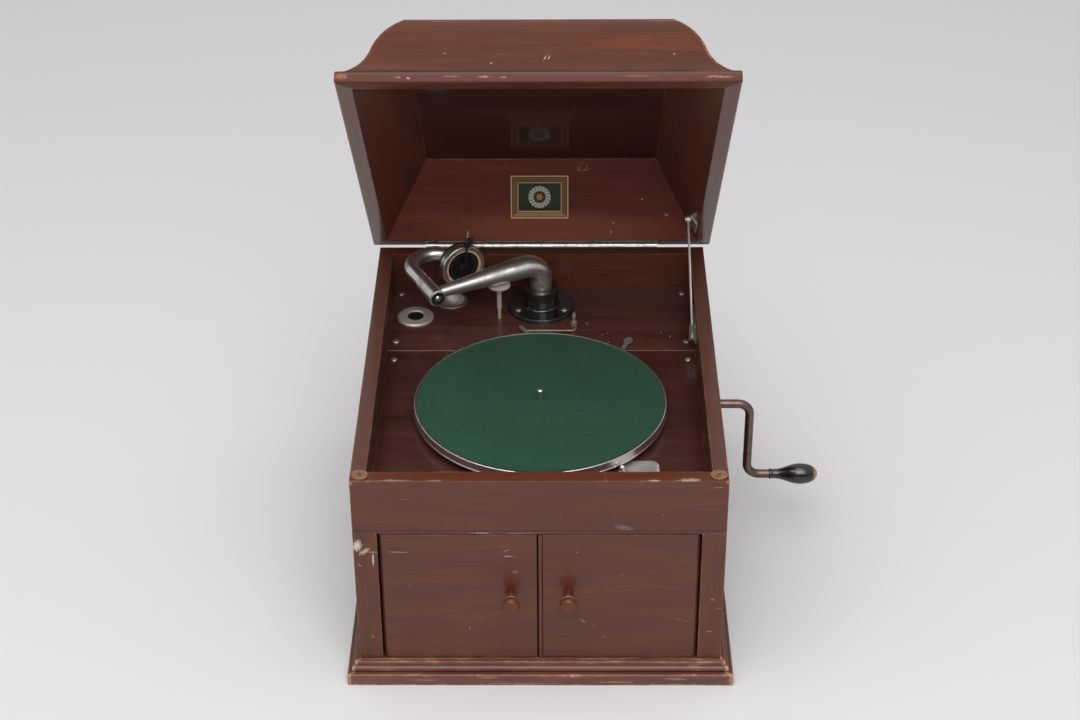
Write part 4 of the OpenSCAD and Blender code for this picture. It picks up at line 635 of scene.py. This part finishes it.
def sound_box_body():
    """Nickel body of the sound box with the rubber ring at its back."""
    rubber_from, rubber_full, groove_at = -0.0521, -0.0525, -0.0466
    made = Finish("soundbox_nickel")
    place = made.on_arm()
    depth = made.axes(place)[0]
    rubber = depth.step(rubber_from, rubber_full)
    groove = (depth - groove_at).size().step(0.0008, 0.0004)
    cloud = made.noise(place, 60.0, 4, 0.6)
    fine = made.noise(place, 500.0, 3, 0.6)
    colour = made.mix(cloud.step(0.5, 0.7) * 0.5, (0.92, 0.89, 0.85), (0.50, 0.45, 0.39))
    colour = made.mix(rubber, colour, (0.014, 0.013, 0.013))
    colour = made.mix(groove * 0.8, colour, (0.03, 0.026, 0.022))
    return made.set(
        Base_Color=colour, Metallic=1.0 - rubber - groove * 0.4,
        Roughness=0.24 + rubber * 0.3 + cloud * 0.1, Normal=made.bump(fine, 0.06, 0.0003),
    )


def gasket_rubber():
    """Cream rubber ring round a black diaphragm with a bright stud in the middle."""
    ring_r, shelf_r, stud_r = 0.0212, 0.0170, 0.0040
    made = Finish("gasket_rubber")
    place = made.on_arm()
    middle = TO_ARM @ middle_of("soundbox_gasket")
    _, across, high = made.axes(place)
    radius = reach(across - middle.y, high - middle.z)
    ring = radius.step(ring_r, ring_r + 0.0002)
    stud = radius.step(stud_r, stud_r - 0.0006)
    shelf = (radius - shelf_r).size().step(0.0007, 0.0003)
    cloud = made.noise(place, 300.0, 3, 0.6)
    cream = made.mix(cloud.step(0.35, 0.7), (0.60, 0.36, 0.19), (0.70, 0.50, 0.32))
    black = made.mix(cloud.step(0.6, 0.75) * 0.5, (0.008, 0.008, 0.008), (0.06, 0.055, 0.05))
    black = made.mix(shelf * 0.5, black, (0.07, 0.065, 0.06))
    colour = made.mix(stud, made.mix(ring, black, cream), (0.30, 0.28, 0.25))
    return made.set(
        Base_Color=colour, Metallic=stud * 0.8, Roughness=0.22 + ring * 0.35 + cloud * 0.1,
        Normal=made.bump(cloud, 0.1, 0.0003),
    )


def cup_nickel():
    """Satin nickel of the used-needle cup, black down in its hole: painted shade."""
    hole_r, hole_below = 0.0106, 0.2360
    made = Finish("cup_nickel")
    place = made.place()
    middle = middle_of("used_needle_cup")
    across, along, high = made.axes(place)
    # Painted shade: the hole is coloured black.
    hole = reach(across - middle.x, along - middle.y).step(hole_r, hole_r - 0.0005)
    hole = hole.most(high.step(hole_below, hole_below - 0.0008))
    cloud = made.noise(place, 90.0, 4, 0.6)
    fine = made.noise(place, 600.0, 3, 0.6)
    colour = made.mix(cloud.step(0.4, 0.7) * 0.6, (0.68, 0.62, 0.59), (0.46, 0.41, 0.37))
    colour = made.mix(fine.step(0.62, 0.7) * 0.4, colour, (0.20, 0.17, 0.14))
    colour = made.mix(hole, colour, (0.006, 0.006, 0.005))
    return made.set(
        Base_Color=colour, Metallic=0.7 - hole * 0.7, Roughness=0.44 + hole * 0.4 + cloud * 0.08,
        Normal=made.bump(fine, 0.12, 0.0003),
    )


def cap_nickel():
    """Cap of the joint: a bright rim and screw, with a painted reflection of the green felt
    between, green-black.
    """
    screw_r, rim_r = 0.0034, 0.0096
    made = Finish("cap_nickel")
    place = made.on_arm()
    middle = TO_ARM @ middle_of("arm_cap")
    _, across, high = made.axes(place)
    radius = reach(across - middle.y, high - middle.z)
    cloud = made.noise(place, 240.0, 4, 0.6)
    inside_rim = (radius + (cloud - 0.5) * 0.0016).step(rim_r, rim_r - 0.0008)
    between = radius.step(screw_r, screw_r + 0.0008) * inside_rim
    # Painted reflection of the green felt, between the rim and the screw.
    felt_reflection = made.mix(cloud.step(0.35, 0.7), (0.085, 0.10, 0.080), (0.20, 0.22, 0.18))
    return made.set(
        Base_Color=made.mix(between, (0.78, 0.76, 0.71), felt_reflection), Metallic=0.95,
        Roughness=0.26 + cloud * 0.12, Normal=made.bump(cloud, 0.05, 0.0003),
    )


def bumper_disc():
    """Brown fibre disc: a paler ring round a dark, rubbed middle."""
    made = Finish("bumper_disc")
    place = made.place()
    low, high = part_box("lid_bumpers")
    disc_r = (high.y - low.y) / 2
    across, along, _ = made.axes(place)
    gap = reach(across.size() - (high.x - disc_r), along - (low.y + disc_r)) / disc_r
    cloud = made.noise(place, 300.0, 4, 0.65)
    middle = (gap + (cloud - 0.5) * 0.3).step(0.52, 0.34)
    groove = (gap - 0.66).size().step(0.07, 0.03) + gap.step(0.93, 0.99)
    colour = made.mix(cloud.step(0.35, 0.7), (0.19, 0.075, 0.035), (0.36, 0.17, 0.085))
    colour = made.mix(middle * 0.75, colour, (0.085, 0.06, 0.032))
    colour = made.mix(groove * 0.6, colour, (0.07, 0.025, 0.014))
    return made.set(Base_Color=colour, Roughness=0.5 + cloud * 0.2,
                    Normal=made.bump(cloud - groove, 0.2, 0.0003))


def grip_wood():
    """Black polished grip whose end is worn to the bare wood."""
    bare_from, bare_full = 0.3440, 0.3462
    made = Finish("grip_wood")
    place = made.place()
    grain = made.streaks(place, (60, 500, 500), 3, 0.6)
    fine = made.noise(place, 300.0, 3, 0.6)
    out = made.axes(place)[0] + (fine - 0.5) * 0.006 + (grain - 0.5) * 0.003
    bare = out.step(bare_from, bare_full)
    worn = fine.step(0.64, 0.72) * 0.35
    black = made.mix(worn, (0.010, 0.008, 0.007), (0.09, 0.05, 0.035))
    tan = made.mix(grain, (0.24, 0.11, 0.05), (0.42, 0.22, 0.11))
    return made.set(
        Base_Color=made.mix(bare * 0.9, black, tan), Roughness=0.14 + bare * 0.35 + worn * 0.2,
        Coat_Weight=0.5, Coat_Roughness=0.06, Normal=made.bump(grain + fine * 0.4, 0.08, 0.0003),
    )


def knob_wood():
    """Turned knobs, red-brown with dark grooves, a paler collar ring of painted highlight and
    wear, and worn, shiny balls.
    """
    seat_high, groove_at, ring_at, ball_from = 0.0016, 0.0040, 0.0135, 0.0152
    made = Finish("knob_wood")
    place = made.place()
    out = DOOR_FRONT - made.axes(place)[1]
    ball = out.step(ball_from, ball_from + 0.0018)
    # Painted highlight and wear: a paler ring on the collar.
    ring = (out - ring_at).size().step(0.0014, 0.0008)
    dark = out.step(seat_high, 0.0004) * 0.8 + (out - groove_at).size().step(0.0014, 0.0005) * 0.4
    fine = made.noise(place, 260.0, 4, 0.6)
    colour = made.mix(fine.step(0.35, 0.7), (0.085, 0.024, 0.012), (0.15, 0.045, 0.021))
    colour = made.mix(ball * 0.7, colour, (0.115, 0.030, 0.011))
    colour = made.mix(ring * 0.55, colour, (0.36, 0.20, 0.16))
    colour = made.mix(dark, colour, SOOT)
    return made.set(
        Base_Color=colour, Roughness=0.30 + fine * 0.12, Specular_IOR_Level=0.28,
        Coat_Weight=0.12, Coat_Roughness=0.1, Normal=made.bump(fine, 0.12, 0.0003),
    )


WORN_NICKEL = nickel("worn_nickel", (0.76, 0.74, 0.71), (0.42, 0.37, 0.31), spots=0.4)
ARM_NICKEL = nickel("arm_nickel", (0.90, 0.885, 0.86), (0.40, 0.355, 0.32), amount=0.85,
                    rough=0.29, cloud_scale=26.0, spots=0.15)
ROD_NICKEL = nickel("rod_nickel", (0.90, 0.85, 0.76), (0.55, 0.47, 0.38), amount=0.4,
                    rough=0.45, cloud_scale=60.0, spots=0.3, metal=0.75)
DULL_NICKEL = nickel("dull_nickel", (0.40, 0.33, 0.28), (0.24, 0.18, 0.15), amount=0.6,
                     rough=0.55, cloud_scale=80.0, spots=0.4, metal=0.8)
SATIN_NICKEL = nickel("satin_nickel", (0.60, 0.57, 0.53), (0.36, 0.31, 0.26),
                      rough=0.42, cloud_scale=60.0, spots=0.4)
SPOTTED_NICKEL = nickel("spotted_nickel", (0.74, 0.72, 0.68), (0.36, 0.31, 0.25), amount=0.6,
                        rough=0.46, cloud_scale=60.0, spots=0.4)
OLD_STEEL = nickel("old_steel", (0.70, 0.68, 0.64), (0.34, 0.29, 0.24),
                   rough=0.40, cloud_scale=70.0, spots=0.3)
DARK_STEEL = nickel("dark_steel", (0.105, 0.10, 0.093), (0.05, 0.043, 0.036), amount=0.6,
                    rough=0.40, cloud_scale=90.0, spots=0.5)
CRANK_IRON = nickel("crank_iron", (0.19, 0.125, 0.11), (0.09, 0.055, 0.045), amount=0.6,
                    rough=0.34, cloud_scale=60.0, spots=0.4)
HINGE_METAL = hinge_plate("hinge_plate", (0.27, 0.225, 0.18), 0.2)
CASE_HINGE_METAL = hinge_plate("case_hinge_plate", (0.115, 0.068, 0.052), 0.35)
HORN_PAINT = plain("horn_paint", (0.030, 0.027, 0.025), (0.060, 0.054, 0.048), 60, 0.42)
SOFTWOOD = plain("bare_softwood", (0.22, 0.12, 0.065), (0.34, 0.20, 0.11), 30, 0.75)
CAST_PAINT = plain("cast_paint", (0.035, 0.037, 0.036), (0.07, 0.07, 0.065), 80, 0.5)
CUT_BRASS = plain("cut_brass", (0.52, 0.36, 0.13), (0.36, 0.23, 0.09), 70, 0.32, metallic=1.0)
FELT = felt_cloth("green_felt")

dress(WORN_NICKEL, "platter", "spindle")
dress(ARM_NICKEL, "tone_arm", "gooseneck")
dress(ROD_NICKEL, "arm_rest", "stay_rod")
dress(DULL_NICKEL, "trip_lever")
dress(SATIN_NICKEL, "needle_cup", "base_screws", "board_screws")
dress(SPOTTED_NICKEL, "brake_lever", "brake_post", "speed_plate", "speed_knob", "crank_bush")
dress(OLD_STEEL, "stay_guide", "stay_bracket", "needle", "spring_barrel", "winding_arbor")
dress(DARK_STEEL, "stylus_bar")
dress(CRANK_IRON, "crank")
dress(HINGE_METAL, "hinge_lid_leaf", "hinge_pin", "door_pins")
dress(CASE_HINGE_METAL, "hinge_case_leaf")
dress(japan("black_japan"), "tone_arm_base")
dress(cap_nickel(), "arm_cap")
dress(cup_nickel(), "used_needle_cup")
dress(sound_box_body(), "soundbox")
dress(gasket_rubber(), "soundbox_gasket")
dress(bumper_disc(), "lid_bumpers")
dress(grip_wood(), "crank_grip")
dress(knob_wood(), "knob_left", "knob_right")
dress(FELT, "felt_mat")
dress(HORN_PAINT, "horn")
dress(SOFTWOOD, "bottom_board", "board_bearers")
dress(CAST_PAINT, "motor_frame")
dress(CUT_BRASS, "middle_gear", "governor")


# ---------------------------------------------------------------- new pieces

def pick(*pieces):
    bpy.ops.object.select_all(action="DESELECT")
    for piece in pieces:
        piece.select_set(True)
    bpy.context.view_layer.objects.active = pieces[0]


def turned_piece(name, outline, sides=40, crease=40):
    """A closed turned solid. The outline is (radius, height) in mm from the foot up."""
    bpy.ops.object.select_all(action="DESELECT")
    rings = [(r * MM, z * MM) for r, z in outline]
    last_r, last_z = rings[0]
    bpy.ops.mesh.primitive_circle_add(vertices=sides, radius=last_r, fill_type="NGON",
                                      location=(0, 0, last_z))
    piece = bpy.context.object
    piece.name = name
    bpy.ops.object.transform_apply(location=True)
    bpy.ops.object.mode_set(mode="EDIT")
    bpy.ops.mesh.select_all(action="SELECT")
    for r, z in rings[1:]:
        bpy.ops.mesh.extrude_region_move(TRANSFORM_OT_translate={"value": (0, 0, z - last_z)})
        bpy.ops.transform.resize(value=(r / last_r, r / last_r, 1), center_override=(0, 0, z))
        last_r, last_z = r, z
    bpy.ops.mesh.select_all(action="SELECT")
    bpy.ops.mesh.normals_make_consistent(inside=False)
    bpy.ops.object.mode_set(mode="OBJECT")
    bpy.ops.object.shade_smooth_by_angle(angle=math.radians(crease))
    return piece


def block(name, low, high):
    """A block between two corners in mm."""
    bpy.ops.object.select_all(action="DESELECT")
    low, high = Vector(low) * MM, Vector(high) * MM
    bpy.ops.mesh.primitive_cube_add(size=1, location=(low + high) / 2)
    piece = bpy.context.object
    piece.name = name
    piece.scale = high - low
    bpy.ops.object.transform_apply(location=True, rotation=True, scale=True)
    return piece


def choose_top(piece):
    """In edit mode, select only the faces that point up."""
    bpy.ops.object.mode_set(mode="EDIT")
    bpy.ops.mesh.select_mode(type="FACE")
    bpy.ops.mesh.select_all(action="DESELECT")
    bpy.ops.object.mode_set(mode="OBJECT")
    for face in piece.data.polygons:
        face.select = face.normal.z > 0.9
    bpy.ops.object.mode_set(mode="EDIT")


def cut(piece, cutter):
    pick(piece)
    saw = piece.modifiers.new("cut", "BOOLEAN")
    saw.operation = "DIFFERENCE"
    saw.solver = "EXACT"
    saw.object = cutter
    bpy.ops.object.modifier_apply(modifier="cut")
    bpy.data.objects.remove(cutter)
    return piece


def spread(model, name, places):
    """One piece made of copies of a model, each with its own place."""
    copies = []
    for place in places:
        copy = model.copy()
        copy.data = model.data.copy()
        bpy.context.collection.objects.link(copy)
        copy.matrix_world = place
        copies.append(copy)
    bpy.data.objects.remove(model)
    pick(*copies)
    bpy.ops.object.transform_apply(location=True, rotation=True, scale=True)
    if len(copies) > 1:
        bpy.ops.object.join()
    piece = bpy.context.object
    piece.name = name
    return piece


def finish_piece(piece, material, body):
    piece.data.materials.clear()
    piece.data.materials.append(material)
    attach(piece, body)


def at(x, y, z, turn=0.0):
    """A place in mm, turned about Z by degrees."""
    return Matrix.Translation(Vector((x, y, z)) * MM) @ Matrix.Rotation(math.radians(turn), 4, "Z")


# Screws of the motor boards and of the tone arm's base. Each turn of the base's screws is
# the screw's bearing on the flange and the turn of its slot, in degrees.
SCREW_RISE = 2.6
SCREW_SLOT = 1.0
SLOT_FLOOR = 0.45 * SCREW_RISE
BOARD_SCREW_R = 4.4
BOARD_SCREW_X = 184.5
BOARD_SCREW_ROWS = (-226.5, 65, 107, 224.5)
BASE_SCREW_R = 3.9
BASE_SCREW_RING = 34.3
BASE_SCREW_TURNS = ((-30, 20), (-150, 75), (90, 130))
FLANGE_TOP = 242.5


def screw_head(name, r):
    """Domed screw head with a cut slot. It starts a little under height 0."""
    sunk, edge = 0.4, 0.25
    dome = []
    for angle in range(0, 90, 12):
        part = math.sin(math.radians(angle))
        dome.append((r * math.cos(math.radians(angle)), SCREW_RISE * (edge + (1 - edge) * part)))
    head = turned_piece(name, [(r, -sunk)] + dome, 32)
    return cut(head, block("slot", (-2 * r, -SCREW_SLOT / 2, SLOT_FLOOR),
                           (2 * r, SCREW_SLOT / 2, 2 * SCREW_RISE)))


def board_screw_heads():
    chance = random.Random(4)
    places = [at(side * BOARD_SCREW_X, y, BOARD_TOP / MM, chance.uniform(0, 180))
              for y in BOARD_SCREW_ROWS for side in (-1, 1)]
    heads = spread(screw_head("board_screw_model", BOARD_SCREW_R), "board_screw_heads", places)
    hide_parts("board_screws")
    return heads


def base_screw_heads():
    places = []
    for angle, turn in BASE_SCREW_TURNS:
        x = BASE_SCREW_RING * math.cos(math.radians(angle))
        y = BASE_SCREW_RING * math.sin(math.radians(angle))
        places.append(at(x, y + ARM_PIVOT.y / MM, FLANGE_TOP, turn))
    heads = spread(screw_head("base_screw_model", BASE_SCREW_R), "base_screw_heads", places)
    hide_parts("base_screws")
    return heads


# Ears of the hinge's upper leaf, on the underside of the closed lid.
EAR_PITCH = 70.7
EAR_Y = 251.5
EAR_FOOT = 288.1
EAR_SCREW_TURNS = (30, 80, 10, 120, 60)


def ear_places(turns):
    return [OPENED @ at(EAR_PITCH * step, EAR_Y, EAR_FOOT, turn)
            for step, turn in zip(range(-2, 3), turns)]


def hinge_ears():
    """Scalloped ears of the lid's leaf, each with a flat slotted screw."""
    ear_r, ear_t, soft_in, soft_up = 5.0, 0.9, 0.4, 0.15
    sink_r, sink_d, screw_r, screw_low, slot = 2.9, 0.25, 2.7, 0.08, 0.8
    ear = turned_piece("hinge_ear_model", [(ear_r - soft_in, 0), (ear_r, soft_up),
                                           (ear_r, ear_t - soft_up), (ear_r - soft_in, ear_t)], 28)
    cut(ear, turned_piece("countersink", [(sink_r, -1), (sink_r, sink_d),
                                          (sink_r - 0.4, sink_d + 0.01)], 28))
    screw = turned_piece("hinge_screw_model", [(screw_r, screw_low), (screw_r, 0.3),
                                               (screw_r - 0.3, 0.31)], 24)
    cut(screw, block("slot", (-4, -slot / 2, -1), (4, slot / 2, 0.17)))
    ears = spread(ear, "hinge_ears", ear_places([0] * len(EAR_SCREW_TURNS)))
    return ears, spread(screw, "hinge_screws", ear_places(EAR_SCREW_TURNS))


# The plaque lies on the inner face of the lid's rear wall, whose foot and head are given
# as they are with the lid closed.
WALL_FOOT = Vector((0, 0.2478, 0.2890))
WALL_HEAD = Vector((0, 0.1933, 0.3825))
PLAQUE_HALF = (37.6, 28.25)
PLAQUE_T = 1.8
PLAQUE_ACROSS = -0.0023
PLAQUE_RISE = 0.05765
# Steps of the frame, from its edge inwards: each one's width and how far it goes up.
PLAQUE_STEPS = ((1.4, 0.0), (0.3, -0.4), (6.4, -0.5), (0.3, 0.35), (1.2, 0.0), (0.3, -0.45))


def plaque_place():
    across = Vector((1, 0, 0))
    up = (WALL_HEAD - WALL_FOOT).normalized()
    middle = WALL_FOOT + across * PLAQUE_ACROSS + up * PLAQUE_RISE
    turned = Matrix((across, up, across.cross(up))).transposed().to_4x4()
    return OPENED @ Matrix.Translation(middle) @ turned


PLAQUE = plaque_place()


def lid_plaque():
    """Small framed plaque inside the lid: the frame, and the panel within it."""
    half_w, half_h = PLAQUE_HALF
    plate = block("lid_plaque", (-half_w, -half_h, -0.2), (half_w, half_h, PLAQUE_T))
    choose_top(plate)
    for width, rise in PLAQUE_STEPS:
        bpy.ops.mesh.inset(thickness=width * MM, depth=rise * MM)
    bpy.ops.object.mode_set(mode="OBJECT")
    return spread(plate, "lid_plaque", [PLAQUE])


def plaque_finish():
    """Wood-toned bevels with pale lines round a green panel with a leaf wreath."""
    half_w, half_h = (half * MM for half in PLAQUE_HALF)
    outer_line, pale_from, panel_from = 0.0020, 0.0085, 0.0098
    wreath_r, wreath_w, rosette_r = 0.0112, 0.0036, 0.0040
    made = Finish("plaque_finish")
    back = PLAQUE.inverted()
    place = made.moved(made.place(), back.translation, back.to_euler())
    across, up, _ = made.axes(place)
    grain = made.streaks(place, (60, 900, 60), 4, 0.6)
    inward = (half_w - across.size()).least(half_h - up.size())
    lower = (up * -1.0 - across.size() * 0.62).step(0.002, 0.004)
    wood = made.mix(grain, (0.16, 0.065, 0.026), (0.27, 0.12, 0.05))
    wood = made.mix(lower * 0.75, wood, (0.44, 0.24, 0.09))
    pale = made.mix(grain, (0.62, 0.39, 0.19), (0.74, 0.52, 0.29))

    radius = reach(across, up)
    turn = made.maths("ARCTAN2", up, across)
    leaves = made.maths("SINE", turn * 9.0 + radius * 260.0).size().step(0.25, 0.42)
    wreath = (radius - wreath_r).size().step(wreath_w, wreath_w - 0.0006) * leaves
    petal_r = made.maths("COSINE", turn * 6.0) * 0.0008 + rosette_r
    rosette = (radius - petal_r).step(0.0003, -0.0003)
    ground = made.mix(made.noise(place, 120.0, 3), (0.012, 0.030, 0.012), (0.026, 0.048, 0.018))
    ground = made.mix(up.step(-0.004, -0.012) * 0.8, ground, (0.028, 0.018, 0.012))
    picture = made.mix(wreath, ground, (0.56, 0.53, 0.44))
    picture = made.mix(rosette, picture, (0.55, 0.20, 0.07))

    colour = made.mix(inward.step(pale_from, pale_from + 0.0003), wood, pale)
    colour = made.mix(inward.step(panel_from, panel_from + 0.0003), colour, picture)
    colour = made.mix(inward.step(outer_line, outer_line - 0.0003), colour, pale)
    grooves = ((inward - outer_line - 0.0002).size().step(0.0007, 0.0003)
               + (inward - pale_from + 0.0002).size().step(0.0006, 0.0002))
    colour = made.mix(grooves * 0.75, colour, (0.035, 0.016, 0.010))
    return made.set(Base_Color=colour, Roughness=0.42 + grain * 0.1, Specular_IOR_Level=0.3,
                    Normal=made.bump(grain, 0.1, 0.0002))


def felt_sheet():
    """The felt lying on the turntable, its edge soft, with a hole for the spindle."""
    low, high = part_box("felt_mat")
    outer, thick, hole_r = high.x / MM, (high.z - low.z) / MM, 3.75
    edge = [(outer - 0.5, 0.0), (outer, 0.5), (outer, 1.0), (outer - 0.7, thick)]
    face = [(r, thick) for r in (140, 120, 95, 70, 45, 25, 12, 5)]
    mat = turned_piece("felt_sheet", edge + face, 128, 60)
    cut(mat, turned_piece("hole", [(hole_r, -2), (hole_r, 4)], 32))
    mat = spread(mat, "felt_sheet", [Matrix.Translation((SPINDLE.x, SPINDLE.y, low.z))])
    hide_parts("felt_mat")
    return mat


finish_piece(board_screw_heads(), SATIN_NICKEL, "case")
finish_piece(base_screw_heads(), SATIN_NICKEL, "case")
ears, ear_screws = hinge_ears()
finish_piece(ears, HINGE_METAL, "lid")
finish_piece(ear_screws, SATIN_NICKEL, "lid")
finish_piece(lid_plaque(), plaque_finish(), "lid")
finish_piece(felt_sheet(), FELT, "turntable")


# ---------------------------------------------------------- floor and lights

# Each light box: its place, what it points at, its size and its watts.
LIGHT_BOXES = {
    "overhead_box": ((-0.3, -0.9, 3.0), (0, 0, 0.1), 2.6, 42),
    "front_box": ((0.45, -2.6, 2.9), (0, 0, 0.2), 2.3, 52),
}


def studio_floor():
    bpy.ops.mesh.primitive_plane_add(size=40, location=(0, 2, 0))
    floor = bpy.context.object
    floor.name = "studio_floor"
    paper = Finish("studio_paper")
    speck = paper.noise(paper.place(), 30.0, 2, 0.5).step(0.74, 0.78) * 0.04
    paper.set(Base_Color=paper.mix(speck, (0.675, 0.664, 0.666), (0.52, 0.50, 0.49)),
              Roughness=0.8, Specular_IOR_Level=0.2)
    floor.data.materials.append(paper.data)


def studio_air():
    """The room's light: pale above, half as bright behind and beside, dark in front."""
    air = Finish("studio_air", bpy.data.worlds, "Background")
    bpy.context.scene.world = air.data
    _, back, up = air.axes(air.node("ShaderNodeTexCoord", {}, {}, out="Generated"))
    room = back.step(-0.98, -0.55) * 0.48
    colour = air.mix(up.step(0.05, 0.75), (0.06, 0.06, 0.062), (0.98, 0.98, 1.0))
    colour = air.mix(room * up.step(-0.2, 0.05), colour, (0.9, 0.9, 0.92))
    air.set(Color=colour, Strength=0.75)


def studio_lights():
    for name, (spot, aim, size, watts) in LIGHT_BOXES.items():
        light = bpy.data.lights.new(name, "AREA")
        light.size = size
        light.energy = watts
        lamp = bpy.data.objects.new(name, light)
        bpy.context.collection.objects.link(lamp)
        lamp.location = spot
        lamp.rotation_euler = (Vector(aim) - Vector(spot)).to_track_quat("-Z", "Y").to_euler()


def photographer():
    """The camera, as it was fitted to the picture."""
    lens = bpy.data.cameras.new("camera")
    lens.lens = 72.55
    lens.sensor_width = 36.0
    lens.shift_x = 0.00978
    camera = bpy.data.objects.new("camera", lens)
    bpy.context.collection.objects.link(camera)
    camera.location = (0.02005, -2.22771, 1.71883)
    camera.rotation_euler = [math.radians(a) for a in (57.1269, 0.4368, 0.5768)]
    bpy.context.scene.camera = camera


studio_floor()
studio_air()
studio_lights()
photographer()
bpy.context.scene.view_settings.view_transform = "Standard"
